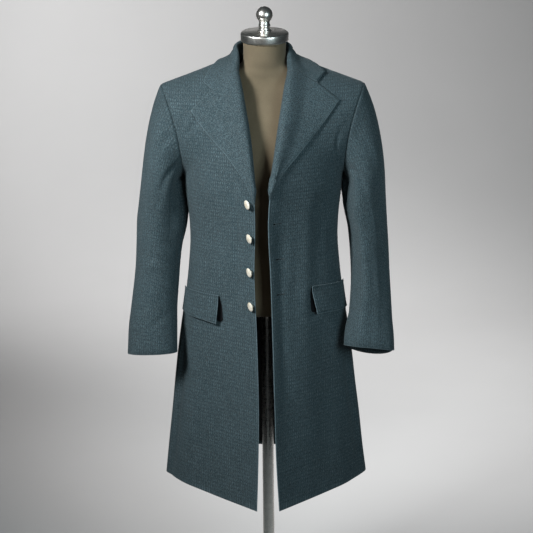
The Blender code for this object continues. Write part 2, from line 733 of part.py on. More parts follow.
def settled(tree, point, lift, slack):
    """The point, moved along the body's normal to stand lift to lift + slack off the cloth under it."""
    found, normal, _, _ = tree.find_nearest(Vector(point))
    out = outward_normal(found, normal)
    height = (Vector(point) - found).dot(out)
    kept = min(max(height, lift), lift + slack)
    return np.array(Vector(point) + out * (kept - height))


def turned_section(seam, fold, bend, outer, radius, steps):
    """The shown face's points where cloth turns over a fold: from seam up to fold, then by bend to outer."""
    away = unit_rows(-(unit_rows(seam - fold) + unit_rows(bend - fold)))
    out = bend - fold
    out = unit_rows(out - away * np.dot(out, away))
    centre = fold - away * radius
    arc = [
        centre + radius * (away * math.cos(a) + out * math.sin(a))
        for a in np.radians((-90, -45, 0, 45, 90))
    ]
    half = steps // 2
    leg = [arc[-1] + (bend - arc[-1]) * (k / half) for k in range(1, half + 1)]
    leg += [bend + (outer - bend) * (k / (steps - half)) for k in range(1, steps - half + 1)]
    return [seam, (seam + arc[0]) / 2] + arc, leg


def lapel_rows(side, tree, rows=LAPEL_ROWS, steps=LEG_STEPS):
    """Sections of the lapel from the break to the gorge, as a grid of shown points."""
    table = LAPELS[side]
    lift = TURNED_CLOTH + PLY_GAP
    grid = []
    for r in range(rows):
        share = r / (rows - 1)
        place = {name: along(table, "share", name, share) for name in Lapel._fields[1:]}
        edge = roll_point(side, share * GORGE_SHARE)
        bend = on_chest(tree, side, place["bend_x"], place["bend_z"], lift)
        outer = on_chest(tree, side, place["edge_x"], place["edge_z"], lift)
        to_side = unit_rows(bend - edge)
        near = Vector(edge + to_side * 0.004)
        found, normal, _, _ = tree.find_nearest(near)
        out = np.array(outward_normal(found, normal))
        to_side = unit_rows(to_side - out * np.dot(to_side, out))
        fold = edge - to_side * ROLL_RADIUS - out * (CLOTH / 2)
        tuck = min(TURN_IN, 0.004 + 0.02 * share)
        seam = edge + to_side * tuck - out * (CLOTH / 2 + ROLL_RADIUS)
        inside, leg = turned_section(seam, fold, fold + to_side, fold + to_side, ROLL_RADIUS, 2)
        start = inside[-1]
        path = [start + (bend - start) * (k / (steps // 2)) for k in range(1, steps // 2 + 1)]
        path += [bend + (outer - bend) * (k / (steps - steps // 2)) for k in range(1, steps - steps // 2 + 1)]
        laid = []
        for k, point in enumerate(path):
            rise = lift + ROLL_LIFT * smooth_step(1 - (k + 1) / steps * 1.4) * smooth_step(share * 3)
            laid.append(on_chest(tree, side, abs(point[0] - COAT_CENTRE), point[2], rise))
        grid.append(inside + laid)
    return np.array(grid)


def collar_rows(side, tree, gorge, rows=COLLAR_HALF_ROWS, steps=LEG_STEPS):
    """Sections of half the collar, from centre back to the gorge, as a grid of shown points."""
    table = COLLARS[side]
    lift = TURNED_CLOTH + PLY_GAP
    keys = [row.share for row in table]
    grid = []
    for r in range(rows):
        share = r / (rows - 1)
        place = {}
        for name in Collar._fields[1:]:
            flat = [namedtuple("P", "share x y z")(k, *getattr(row, name)) for k, row in zip(keys, table)]
            x, y, z = (along(flat, "share", axis, share) for axis in "xyz")
            place[name] = np.array((COAT_CENTRE + side * x, y, z))
        inside, leg = turned_section(
            place["seam"], place["fold"], place["bend"], place["outer"], ROLL_RADIUS, steps
        )
        slack = [COLLAR_SLACK * (1 - k / steps) for k in range(1, steps + 1)]
        grid.append(inside + [settled(tree, point, lift, loose) for point, loose in zip(leg, slack)])
    grid = np.array(grid)
    to_notch = len(gorge) - steps // 2
    grid[-1, :to_notch] = gorge[:to_notch]
    return grid


def build_collar_and_lapels(grids, wool):
    tree = surface_tree(list(grids.values()))
    lapels = {side: lapel_rows(side, tree) for side in (RIGHT, LEFT)}
    halves = {side: collar_rows(side, tree, lapels[side][-1]) for side in (RIGHT, LEFT)}
    collar = np.vstack([halves[RIGHT][::-1], halves[LEFT][1:]])
    collar_in = -grid_normals(collar)
    to_notch = collar.shape[1] - LEG_STEPS // 2
    for side, gorge in ((RIGHT, 0), (LEFT, -1)):
        lapel_in = side * grid_normals(lapels[side])
        sewn = unit_rows(lapel_in[-1, :to_notch] + collar_in[gorge, :to_notch])
        lapel_in[-1, :to_notch] = collar_in[gorge, :to_notch] = sewn
        lapel = pull_back(lapels[side], last_row=SEAM * 1.5)
        wall(f"lapel_{SIDE_NAMES[side]}", lapel, TURNED_CLOTH, wool, lapel_in)
    collar = pull_back(collar, first_row=SEAM * 1.5, last_row=SEAM * 1.5)
    wall("collar", collar, TURNED_CLOTH, wool, collar_in)


# ---------------------------------------------------------------- flaps and buttons
def body_normal(side, turn, height):
    step = 0.004
    across = body_point(side, min(turn + step, 1), height) - body_point(side, turn - step, height)
    up = body_point(side, turn, height + step) - body_point(side, turn, height - step)
    return side * unit_rows(np.cross(up, across))


def build_flaps(wool):
    for side in (RIGHT, LEFT):
        flap = FLAPS[side]
        rows, columns = 5, 8
        grid = np.zeros((rows, columns, 3))
        for r in range(rows):
            down = r / (rows - 1)
            for c in range(columns):
                share = c / (columns - 1)
                turn = flap.rear + (flap.front + flap.front_low_shift * down - flap.rear) * share
                drop = flap.rear_drop + (flap.front_drop - flap.rear_drop) * share
                height = flap.rear_top + (flap.front_top - flap.rear_top) * share - drop * down
                lift = CLOTH + PLY_GAP + 0.0030 * down * smooth_step(share * 2)
                grid[r, c] = body_point(side, turn, height) + body_normal(side, turn, height) * lift
        wall(f"flap_{SIDE_NAMES[side]}", grid, CLOTH, wool, side * grid_normals(grid))


def build_buttons(pearl):
    """Domed shank buttons along the right front edge. They droop on their shanks."""
    rim = SHANK_HEIGHT + 0.0016
    profile = [(SHANK_RADIUS, 0.0), (SHANK_RADIUS, SHANK_HEIGHT), (0.0098, SHANK_HEIGHT + 0.0004)]
    profile += [
        (BUTTON_RADIUS * math.cos(a), rim + (BUTTON_HEIGHT - rim) * math.sin(a))
        for a in np.radians((0, 12, 35, 62))
    ]
    level = math.cos(BUTTON_DROOP)
    facing = np.array((-math.sin(BUTTON_TURN) * level, -math.cos(BUTTON_TURN) * level, -math.sin(BUTTON_DROOP)))
    for number, (height, inset) in enumerate(BUTTONS, start=1):
        turn = 1.0
        edge = body_point(RIGHT, turn, height)
        while np.linalg.norm(body_point(RIGHT, turn, height) - edge) < inset:
            turn -= 0.002
        normal = body_normal(RIGHT, turn, height)
        lean = math.sqrt(1 - np.dot(normal, facing) ** 2)
        place = body_point(RIGHT, turn, height) + normal * (BUTTON_GAP + SHANK_RADIUS * lean)
        button = turned(f"button_{number}", profile, pearl, centre=place, sides=14)
        button.rotation_mode = "QUATERNION"
        button.rotation_quaternion = Vector(facing).to_track_quat("Z", "Y")


# ---------------------------------------------------------------- the dress form
def build_form(canvas, steel):
    points, faces = [], []
    for ring in TORSO:
        tilt = math.tan(NECK_TILT) * smooth_step((ring.height - 1.46) / 0.05)
        for k in range(AROUND):
            a = 2 * math.pi * k / AROUND
            power = 2 / ring.square
            x = ring.half_width * math.copysign(abs(math.cos(a)) ** power, math.cos(a))
            y = ring.half_depth * math.copysign(abs(math.sin(a)) ** power, math.sin(a))
            points.append((x, ring.centre_y + y, ring.height + tilt * y))
    for ring in range(len(TORSO) - 1):
        a, b = ring * AROUND, (ring + 1) * AROUND
        for k in range(AROUND):
            nxt = (k + 1) % AROUND
            faces.append((a + k, a + nxt, b + nxt, b + k))
    faces.append(tuple(range(AROUND - 1, -1, -1)))
    faces.append(tuple(range(len(points) - AROUND, len(points))))
    make_object("form_torso", points, faces, canvas)

    neck_top = TORSO[-1].height
    gap = 0.0003
    turned("form_cap", CAP_PROFILE, steel, centre=(0, 0, neck_top + gap), tilt=NECK_TILT)
    cap_height = CAP_PROFILE[-1][1]
    ball = [
        (BALL_RADIUS * math.sin(a), BALL_HEIGHT - BALL_RADIUS * math.cos(a))
        for a in np.radians((34, 52, 70, 90, 110, 130, 150, 168))
    ]
    up = Vector((0, -math.sin(NECK_TILT), math.cos(NECK_TILT)))
    place = Vector((0, 0, neck_top + gap)) + up * (cap_height + gap)
    turned("form_finial", FINIAL_PROFILE + ball, steel, centre=place, tilt=NECK_TILT, sides=20)

    turned("stand_base", BASE_PROFILE, steel, sides=36)
    socket_foot = BASE_PROFILE[-1][1] + gap
    turned("stand_socket", SOCKET_PROFILE, steel, centre=(0, 0, socket_foot), sides=24)
    pole_foot = socket_foot + SOCKET_PROFILE[-1][1] + gap
    torso_foot = TORSO[0].height - gap
    turned("stand_pole", [(POLE_RADIUS, pole_foot), (POLE_RADIUS, torso_foot)], steel, sides=20)


def main():
    for obj in list(bpy.data.objects):
        bpy.data.objects.remove(obj)
    wool = finish_of("wool", WOOL)
    satin = finish_of("satin", SATIN)
    pearl = finish_of("pearl", PEARL)
    canvas = finish_of("canvas", CANVAS)
    steel = finish_of("steel", STEEL)
    grids = build_body(wool)
    build_lining(grids, satin)
    build_sleeves(wool)
    build_collar_and_lapels(grids, wool)
    build_flaps(wool)
    build_buttons(pearl)
    build_form(canvas, steel)


main()
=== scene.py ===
"""A frock coat on a limbless dress form: its cloth, sewing, form and stand. Metres, +Z up.

The coat faces -Y and the wearer's right is at -X. Each cloth piece is a thin shell on a fine grid of
points, whose rows run up the garment, and it lies where the solid that it stands for is.
"""

import math
from collections import namedtuple

import bmesh
import bpy
import numpy as np
from mathutils import Matrix, Vector
from mathutils.bvhtree import BVHTree


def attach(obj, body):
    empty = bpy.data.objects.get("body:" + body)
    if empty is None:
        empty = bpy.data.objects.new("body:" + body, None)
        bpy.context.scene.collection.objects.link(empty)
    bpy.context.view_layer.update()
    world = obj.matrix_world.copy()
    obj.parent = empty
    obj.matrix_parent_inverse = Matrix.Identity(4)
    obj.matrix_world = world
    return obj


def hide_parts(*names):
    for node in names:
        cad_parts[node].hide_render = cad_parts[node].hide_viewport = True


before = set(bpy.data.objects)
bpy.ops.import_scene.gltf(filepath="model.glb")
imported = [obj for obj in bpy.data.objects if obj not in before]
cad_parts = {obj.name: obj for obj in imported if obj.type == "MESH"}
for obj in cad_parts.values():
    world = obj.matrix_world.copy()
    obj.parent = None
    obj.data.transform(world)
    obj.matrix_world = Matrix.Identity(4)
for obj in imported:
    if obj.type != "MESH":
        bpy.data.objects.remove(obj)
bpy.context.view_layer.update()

# ---------------------------------------------------------------- camera
PICTURE_SIDE = 533  # pixels
FOCAL_LENGTH = 1674  # in the same pixels
SENSOR = 36
CAMERA_PLACE = (0, -3.80, 2.074)
CAMERA_PITCH = math.radians(90 - 16)
CAMERA_ROLL = math.radians(-0.5)

# ---------------------------------------------------------------- the coat's sizes
RIGHT, LEFT = -1, 1  # the wearer's sides, which are also the signs of x
SIDE_NAMES = {RIGHT: "right", LEFT: "left"}

COAT_CENTRE = -0.0055
CLOTH = 0.0022
TURNED_CLOTH = 0.0024
LINING = 0.0006
PLY_GAP = 0.0005

HEM = 0.467
UNDERARM = 1.205
SHOULDER = 1.421
NECK_SIDE = 1.482
NECK_BACK = 1.475
FRONT_DIP = 0.012
BREAK = 1.200  # the height where the lapels begin to turn

SIDE_SEAM = 0.45
ARMHOLE_HALF_WIDTH = 0.1849
SHOULDER_SPREAD = 0.0461
ARMHOLE_FRONT = 0.083
ARMHOLE_BACK = 0.056


def rows_of(kind, *rows):
    """A table: each row's values, named by its kind."""
    return [kind(*row) for row in rows]


Section = namedtuple(
    "Section", "height half_width front_depth back_depth front_turn front_reach side_reach back_fullness"
)
BODY = rows_of(
    Section,
    (0.467, 0.2445, 0.217, 0.174, 43, 0.190, 0.022, 0.60),
    (0.580, 0.2310, 0.199, 0.163, 43, 0.170, 0.030, 0.60),
    (0.690, 0.2180, 0.183, 0.152, 43, 0.150, 0.040, 0.61),
    (0.780, 0.2080, 0.170, 0.143, 42, 0.132, 0.050, 0.62),
    (0.860, 0.1965, 0.159, 0.135, 41, 0.112, 0.060, 0.62),
    (0.920, 0.1870, 0.152, 0.128, 39, 0.097, 0.068, 0.62),
    (0.990, 0.1780, 0.147, 0.117, 37, 0.085, 0.072, 0.62),
    (1.060, 0.1725, 0.145, 0.107, 34, 0.080, 0.074, 0.62),
    (1.130, 0.1760, 0.150, 0.113, 30, 0.082, 0.076, 0.62),
    (1.205, 0.1870, 0.156, 0.124, 26, 0.087, 0.080, 0.62),
)

Edge = namedtuple("Edge", "height right left")
FRONT_EDGE = rows_of(
    Edge,
    (0.450, 0.0235, 0.0325),
    (0.580, 0.0185, 0.0255),
    (0.700, 0.0165, 0.0225),
    (0.860, 0.0190, 0.0190),
    (1.000, 0.0235, 0.0155),
    (1.090, 0.0210, 0.0115),
    (1.150, 0.0205, 0.0120),
    (1.205, 0.0230, 0.0175),
)

Roll = namedtuple("Roll", "height right left depth")
ROLL_LINE = rows_of(
    Roll,
    (1.205, 0.0230, 0.0175, 0.156),
    (1.270, 0.0275, 0.0280, 0.147),
    (1.330, 0.0345, 0.0380, 0.130),
    (1.385, 0.0445, 0.0480, 0.106),
    (1.430, 0.0530, 0.0565, 0.078),
    (1.456, 0.0600, 0.0640, 0.048),
    (1.474, 0.0670, 0.0705, 0.018),
    (NECK_SIDE, 0.0725, 0.0760, -0.008),
)
GORGE_SHARE = 0.70

Nape = namedtuple("Nape", "height depth")
CENTRE_BACK = rows_of(
    Nape,
    (1.205, 0.124),
    (1.270, 0.128),
    (1.330, 0.126),
    (1.380, 0.117),
    (1.420, 0.104),
    (1.450, 0.089),
    (NECK_BACK, 0.072),
)
BACK_NECK_SHARE = 0.70

# The coat's main folds, by place round the body.
Fold = namedtuple("Fold", "side turn spread low high depth")
FOLDS = rows_of(
    Fold,
    (RIGHT, 0.60, 0.045, 0.560, 0.925, -0.0085),
    (RIGHT, 0.74, 0.070, 0.400, 0.860, 0.0035),
    (LEFT, 0.61, 0.045, 0.600, 0.925, -0.0070),
    (LEFT, 0.76, 0.060, 0.400, 0.820, 0.0030),
    (RIGHT, 0.28, 0.060, 0.380, 0.950, 0.0085),
    (LEFT, 0.28, 0.060, 0.380, 0.950, 0.0085),
    (RIGHT, 0.15, 0.050, 0.380, 0.900, -0.0060),
    (LEFT, 0.15, 0.050, 0.380, 0.900, -0.0060),
)

LINING_HEM = 0.008
LINING_TOP = 1.080
VENT_TOP = 0.960
VENT_LAP = 0.034
VENT_SINK = 0.0042

Arm = namedtuple("Arm", "height x y half_width half_depth")
SLEEVES = {
    RIGHT: rows_of(
        Arm,
        (1.190, 0.2362, -0.003, 0.0480, 0.0700),
        (1.150, 0.2354, 0.001, 0.0540, 0.0690),
        (1.107, 0.2370, 0.003, 0.0580, 0.0675),
        (1.050, 0.2452, 0.003, 0.0545, 0.0650),
        (0.975, 0.2520, -0.005, 0.0525, 0.0600),
        (0.900, 0.2600, -0.024, 0.0540, 0.0530),
        (0.842, 0.2640, -0.043, 0.0570, 0.0470),
        (0.794, 0.2650, -0.060, 0.0585, 0.0420),
    ),
    LEFT: rows_of(
        Arm,
        (1.190, 0.2358, -0.003, 0.0474, 0.0700),
        (1.152, 0.2350, 0.001, 0.0503, 0.0690),
        (1.080, 0.2437, 0.003, 0.0460, 0.0665),
        (0.973, 0.2493, -0.012, 0.0460, 0.0600),
        (0.887, 0.2485, -0.043, 0.0503, 0.0520),
        (0.845, 0.2450, -0.062, 0.0565, 0.0470),
        (0.809, 0.2435, -0.081, 0.0590, 0.0420),
    ),
}
SLEEVE_GAP = 0.0003
UNDERARM_GAP = 0.0006
CUFF_SLANT = {RIGHT: 0.002, LEFT: 0.006}
CUFF_DROP = {RIGHT: 0.0, LEFT: 0.52}  # how much further than square the back of the cuff hangs
TOP_SLEEVE_FROM = -82
TOP_SLEEVE_TO = 118

Lapel = namedtuple("Lapel", "share bend_x bend_z edge_x edge_z")
LAPELS = {
    RIGHT: rows_of(
        Lapel,
        (0.00, 0.0262, 1.2044, 0.0290, 1.2035),
        (0.20, 0.0360, 1.2490, 0.0420, 1.2290),
        (0.45, 0.0640, 1.2960, 0.0760, 1.2755),
        (0.75, 0.0990, 1.3730, 0.1255, 1.3285),
        (1.00, 0.1125, 1.4150, 0.1600, 1.3730),
    ),
    LEFT: rows_of(
        Lapel,
        (0.00, 0.0185, 1.2048, 0.0195, 1.2045),
        (0.20, 0.0350, 1.2560, 0.0400, 1.2400),
        (0.45, 0.0680, 1.3070, 0.0795, 1.2845),
        (0.75, 0.1050, 1.3810, 0.1320, 1.3440),
        (1.00, 0.1210, 1.4270, 0.1705, 1.3910),
    ),
}
Bulge = namedtuple("Bulge", "share radius")
ROLL_BULGE = [  # how softly the lapel rolls over, from the break to the gorge
    Bulge(0.00, 0.0046),
    Bulge(0.20, 0.0085),
    Bulge(0.45, 0.0125),
    Bulge(0.75, 0.0115),
    Bulge(1.00, 0.0080),
]
BULGE_REACH = 0.046
LAPEL_FOOT = {RIGHT: 1.175, LEFT: 1.185}  # where the turned cloth has narrowed away along the edge
TAIL_STEPS = 14
TAIL_WIDTH = 0.0008
TAIL_RADIUS = 0.0017
TAIL_CLOTH = 0.0003
ROLL_RADIUS = 0.0046
TURN_IN = 0.010

Collar = namedtuple("Collar", "share seam fold bend outer")
# The collar's sections by their share from centre back to gorge: seam, fold, bend and outer places.
COLLAR_BACK = (
    (0.00, (0.000, 0.0665, 1.4700), (0.000, 0.0715, 1.5140),
     (0.000, 0.0850, 1.4900), (0.000, 0.0940, 1.4600)),
    (0.22, (0.036, 0.0560, 1.4700), (0.037, 0.0610, 1.5130),
     (0.045, 0.0720, 1.4890), (0.052, 0.0830, 1.4630)),
)
COLLARS = {
    RIGHT: rows_of(
        Collar,
        *COLLAR_BACK,
        (0.45, (0.064, 0.0200, 1.4740), (0.060, 0.0210, 1.5060),
         (0.072, 0.0300, 1.4850), (0.088, 0.0410, 1.4680)),
        (0.62, (0.063, -0.0060, 1.4730), (0.0575, -0.0100, 1.4975),
         (0.073, -0.0050, 1.4800), (0.103, 0.0080, 1.4670)),
        (0.82, (0.060, -0.0300, 1.4610), (0.0535, -0.0370, 1.4740),
         (0.084, -0.0340, 1.4590), (0.119, -0.0200, 1.4540)),
        (1.00, (0.058, -0.0470, 1.4480), (0.0500, -0.0560, 1.4545),
         (0.1125, -0.0660, 1.4147), (0.132, -0.0470, 1.4315)),
    ),
    LEFT: rows_of(
        Collar,
        *COLLAR_BACK,
        (0.45, (0.066, 0.0200, 1.4740), (0.062, 0.0210, 1.5060),
         (0.075, 0.0300, 1.4850), (0.091, 0.0430, 1.4670)),
        (0.62, (0.066, -0.0060, 1.4730), (0.0615, -0.0100, 1.4975),
         (0.079, -0.0030, 1.4810), (0.108, 0.0150, 1.4660)),
        (0.82, (0.063, -0.0300, 1.4610), (0.0575, -0.0370, 1.4740),
         (0.090, -0.0240, 1.4655), (0.127, -0.0020, 1.4600)),
        (1.00, (0.061, -0.0470, 1.4480), (0.0535, -0.0560, 1.4545),
         (0.1190, -0.0530, 1.4290), (0.141, -0.0210, 1.4465)),
    ),
}
COLLAR_SLACK = 0.012

Flap = namedtuple("Flap", "front rear front_low_shift front_top rear_top front_drop rear_drop")
FLAPS = {
    RIGHT: Flap(0.812, 0.545, 0.006, 0.9445, 0.9440, 0.0675, 0.0570),
    LEFT: Flap(0.794, 0.530, -0.006, 0.9640, 0.9560, 0.0680, 0.0660),
}

# The widest part of the painted shadow in front of each flap.
FLAP_WEDGE = 0.0105
FLAP_NEAR_EDGE = (0.0, 0.0010, 0.0024, 0.0040, 0.0052, 0.0064, 0.0085, 0.0120)
FLAP_FOLDS = ("first_column", "last_column", "last_row")  # all its sides but the top
# Spaces the points across a flap. Its own width is less, 0.12 m, and comes from its turns round the body.
FLAP_SPACING = 0.145

BUTTON_RADIUS = 0.011
BUTTON_HEIGHT = 0.0095  # with its shank
SHANK_HEIGHT = 0.0050
SHANK_RADIUS = 0.0030
BUTTON_GAP = 0.0008
BUTTON_TURN = math.radians(60)  # each button hangs turned to its own side
BUTTON_DROOP = math.radians(9)
ButtonPlace = namedtuple("ButtonPlace", "height inset")  # inset: from the front edge, along the cloth
BUTTONS = [
    ButtonPlace(1.1735, 0.0105),
    ButtonPlace(1.0930, 0.0070),
    ButtonPlace(1.0130, 0.0052),
    ButtonPlace(0.9330, 0.0050),
]

# The dress form: level sections from its foot to the top of its neck.
Ring = namedtuple("Ring", "height half_width half_depth centre_y square")
TORSO = rows_of(
    Ring,
    (0.889, 0.149, 0.096, 0.002, 2.0),
    (0.893, 0.155, 0.101, 0.002, 2.0),
    (0.930, 0.158, 0.103, 0.001, 2.0),
    (0.990, 0.148, 0.096, 0.000, 2.0),
    (1.060, 0.139, 0.090, -0.003, 2.0),
    (1.130, 0.146, 0.096, -0.003, 2.05),
    (1.200, 0.156, 0.103, -0.003, 2.1),
    (1.265, 0.163, 0.105, 0.001, 2.2),
    (1.320, 0.170, 0.100, 0.005, 2.25),
    (1.365, 0.176, 0.087, 0.009, 2.3),
    (1.398, 0.177, 0.068, 0.011, 2.2),
    (1.420, 0.162, 0.052, 0.010, 2.0),
    (1.436, 0.132, 0.046, 0.008, 1.9),
    (1.449, 0.086, 0.046, 0.006, 1.9),
    (1.461, 0.061, 0.047, 0.005, 2.0),
    (1.475, 0.0510, 0.0480, 0.002, 2.0),
    (1.494, 0.0488, 0.0490, 0.001, 2.0),
    (1.519, 0.0490, 0.0490, 0.000, 2.0),
)
NECK_TILT = math.radians(4.5)  # the neck's top slopes down to the front
CAP_PROFILE = [  # radius and height above the neck's top
    (0.0535, 0.0),
    (0.0550, 0.0025),
    (0.0550, 0.0165),
    (0.0540, 0.0190),
    (0.0510, 0.0202),
]
FINIAL_PROFILE = [  # radius and height above the cap, with the ball added on top
    (0.0160, 0.0003),
    (0.0166, 0.0020),
    (0.0160, 0.0040),
    (0.0128, 0.0050),
    (0.0122, 0.0105),
    (0.0136, 0.0125),
    (0.0138, 0.0155),
    (0.0118, 0.0178),
    (0.0122, 0.0230),
]
BALL_RADIUS = 0.019
BALL_HEIGHT = 0.0385
POLE_RADIUS = 0.014
BASE_PROFILE = [
    (0.168, 0.0),
    (0.170, 0.002),
    (0.170, 0.008),
    (0.166, 0.011),
    (0.050, 0.016),
]
SOCKET_PROFILE = [
    (0.034, 0.0),
    (0.034, 0.003),
    (0.025, 0.009),
    (0.024, 0.036),
    (0.021, 0.039),
]

# Distances from a finished edge at which the grid has points, so that the edge, its crease and
# its stitches have a shape.
NEAR_EDGE = (0.0, 0.0010, 0.0024, 0.0040, 0.0052, 0.0064, 0.0080, 0.0105, 0.0145)
NEAR_SEAM = (0.0, 0.0008, 0.0020, 0.0045)
SEAM_DIP = 0.0008
SEAM_DIP_WIDTH = 0.0016
FACING = 0.085  # how far the fronts' own wool runs in behind their edges
TURN_UP = 0.040  # how far wool shows inside a hem or a cuff
NO_EDGE_WEAR_OR_SHEEN = 0.05  # an edge distance at which cloth has no paled edge, neither wear nor painted highlight


# ---------------------------------------------------------------- small helpers
def smooth_step(value):
    value = np.clip(value, 0.0, 1.0)
    return value * value * (3 - 2 * value)


def along(table, key, value, at):
    """The named column of a table where the key column has the value at, as a smooth curve."""
    keys = np.array([getattr(row, key) for row in table], float)
    values = np.array([getattr(row, value) for row in table], float)
    last = len(keys) - 1
    before = np.maximum(np.arange(last + 1) - 1, 0)
    after = np.minimum(np.arange(last + 1) + 1, last)
    slopes = (values[after] - values[before]) / (keys[after] - keys[before])
    at = np.clip(np.asarray(at, float), keys[0], keys[-1])
    i = np.clip(np.searchsorted(keys, at, side="right") - 1, 0, last - 1)
    span = keys[i + 1] - keys[i]
    t = (at - keys[i]) / span
    return (
        values[i] * (1 + 2 * t) * (1 - t) ** 2
        + slopes[i] * span * t * (1 - t) ** 2
        + values[i + 1] * t * t * (3 - 2 * t)
        + slopes[i + 1] * span * t * t * (t - 1)
    )


def points_of(*coordinates):
    """One array of points from arrays or numbers for each axis."""
    return np.stack(np.broadcast_arrays(*[np.asarray(c, float) for c in coordinates]), axis=-1)


def bezier(a, b, c, d, t):
    t = np.asarray(t, float)[..., None]
    s = 1 - t
    return a * s**3 + b * (3 * s * s * t) + c * (3 * s * t * t) + d * t**3


def unit(vectors):
    return vectors / np.maximum(np.linalg.norm(vectors, axis=-1, keepdims=True), 1e-12)


def grid_normals(grid):
    return unit(np.cross(np.gradient(grid, axis=1), np.gradient(grid, axis=0)))


def run_lengths(grid, axis):
    """For each point of a grid, how far along its row (axis 1) or column (axis 0) it is."""
    steps = np.linalg.norm(np.diff(grid, axis=axis), axis=-1)
    total = np.cumsum(steps, axis=axis)
    return np.insert(total, 0, 0.0, axis=axis)


def respaced(grid, first, count, last):
    """Each row again, with points at set distances from its two ends and count steps between them."""
    lengths = run_lengths(grid, 1)
    out = np.zeros((len(grid), len(first) + count - 1 + len(last), 3))
    for row, (points, at) in enumerate(zip(grid, lengths)):
        whole = at[-1]
        middle = np.linspace(first[-1], whole - last[-1], count + 1)[1:-1]
        wanted = np.concatenate([first, middle, whole - np.array(last)[::-1]])
        for axis in range(3):
            out[row, :, axis] = np.interp(wanted, at, points[:, axis])
    return out


def relaxed(grid, weight, passes):
    """The grid with each inner point drawn towards the mean of its neighbours, by weight (rows, columns)."""
    out = grid.copy()
    pull = weight[1:-1, 1:-1, None]
    for _ in range(passes):
        mean = (out[:-2, 1:-1] + out[2:, 1:-1]) / 2
        out[1:-1, 1:-1] += (mean - out[1:-1, 1:-1]) * pull
    return out


# ---------------------------------------------------------------- the body's form
def fold_push(side, turn, height):
    """How far the main folds move a point out, or in where they are troughs."""
    push = np.zeros(np.broadcast(turn, height).shape)
    for fold in FOLDS:
        if fold.side == side:
            fade = smooth_step((fold.high - height) / 0.22) * smooth_step((height - fold.low + 0.16) / 0.16)
            push = push + fold.depth * fade * np.exp(-(((turn - fold.turn) / fold.spread) ** 2) * 1.2)
    return push


def body_points(side, turn, height):
    """Points of the body's outer face. turn is 0 at centre back, 0.5 at the side, 1 at the front edge."""
    turn, height = np.broadcast_arrays(np.asarray(turn, float), np.asarray(height, float))
    section = {name: along(BODY, "height", name, height) for name in Section._fields[1:]}
    width, zero = section["half_width"], np.zeros_like(height)
    depth, full = section["back_depth"], section["back_fullness"]
    back = bezier(
        points_of(zero, depth),
        points_of(full * width, depth),
        points_of(width, full * depth),
        points_of(width, zero),
        turn * 2,
    )
    swing = np.radians(section["front_turn"])
    edge = points_of(along(FRONT_EDGE, "height", SIDE_NAMES[side], height), -section["front_depth"])
    lean = edge + section["front_reach"][..., None] * points_of(np.cos(swing), np.sin(swing))
    front = bezier(
        points_of(width, zero), points_of(width, -section["side_reach"]), lean, edge, turn * 2 - 1
    )
    flat = np.where((turn < 0.5)[..., None], back, front)
    depth = np.where(turn < 0.5, section["back_depth"], section["front_depth"])
    dip = FRONT_DIP * smooth_step(1 - (height - HEM) / 0.25) * smooth_step((turn - 0.5) / 0.5)
    out = unit(flat / points_of(width, depth))
    flat = flat + out * fold_push(side, turn, height)[..., None]
    return points_of(COAT_CENTRE + side * flat[..., 0], flat[..., 1], height - dip)


def armhole_points(side, turn, front):
    """Points of the armhole, from turn -90 at the underarm to 90 at the shoulder point."""
    angle = np.radians(turn)
    height = (SHOULDER + UNDERARM) / 2 + (SHOULDER - UNDERARM) / 2 * np.sin(angle)
    share = np.clip((height - UNDERARM) / (SHOULDER - UNDERARM), 0, 1)
    scoop = np.where(front, -ARMHOLE_FRONT, ARMHOLE_BACK)
    x = ARMHOLE_HALF_WIDTH + SHOULDER_SPREAD * share**2.2
    return points_of(COAT_CENTRE + side * x, 0.0222 - 0.0162 * share + scoop * np.cos(angle), height)


def roll_points(side, share):
    """Points of the front's inner edge, from the break (0) to the shoulder at the neck (1)."""
    rise = np.sin(np.clip(share, 0, 1) * math.pi / 2) ** 0.92
    height = 1.205 + (NECK_SIDE - 1.205) * rise
    x = along(ROLL_LINE, "height", SIDE_NAMES[side], height)
    return points_of(COAT_CENTRE + side * x, -along(ROLL_LINE, "height", "depth", height), height)


def back_inner_points(side, share):
    """Points of the back's inner edge: up the centre back to the nape, then round the neck."""
    share = np.asarray(share, float)
    height = UNDERARM + (NECK_BACK - UNDERARM) * np.clip(share / BACK_NECK_SHARE, 0, 1) ** 0.9
    centre = points_of(COAT_CENTRE, along(CENTRE_BACK, "height", "depth", height), height)
    t = np.clip((share - BACK_NECK_SHARE) / (1 - BACK_NECK_SHARE), 0, 1)
    nape = np.array((COAT_CENTRE, CENTRE_BACK[-1].depth, NECK_BACK))
    side_neck = roll_points(side, 1.0)
    width = abs(side_neck[0] - COAT_CENTRE)
    reach = nape + np.array((side * 0.55 * width, 0, 0))
    rise = side_neck + np.array((side * 0.004, 0.55 * (nape[1] - side_neck[1]), -0.002))
    neck = bezier(nape, reach, rise, side_neck, t)
    return np.where((share <= BACK_NECK_SHARE)[..., None], centre, neck)


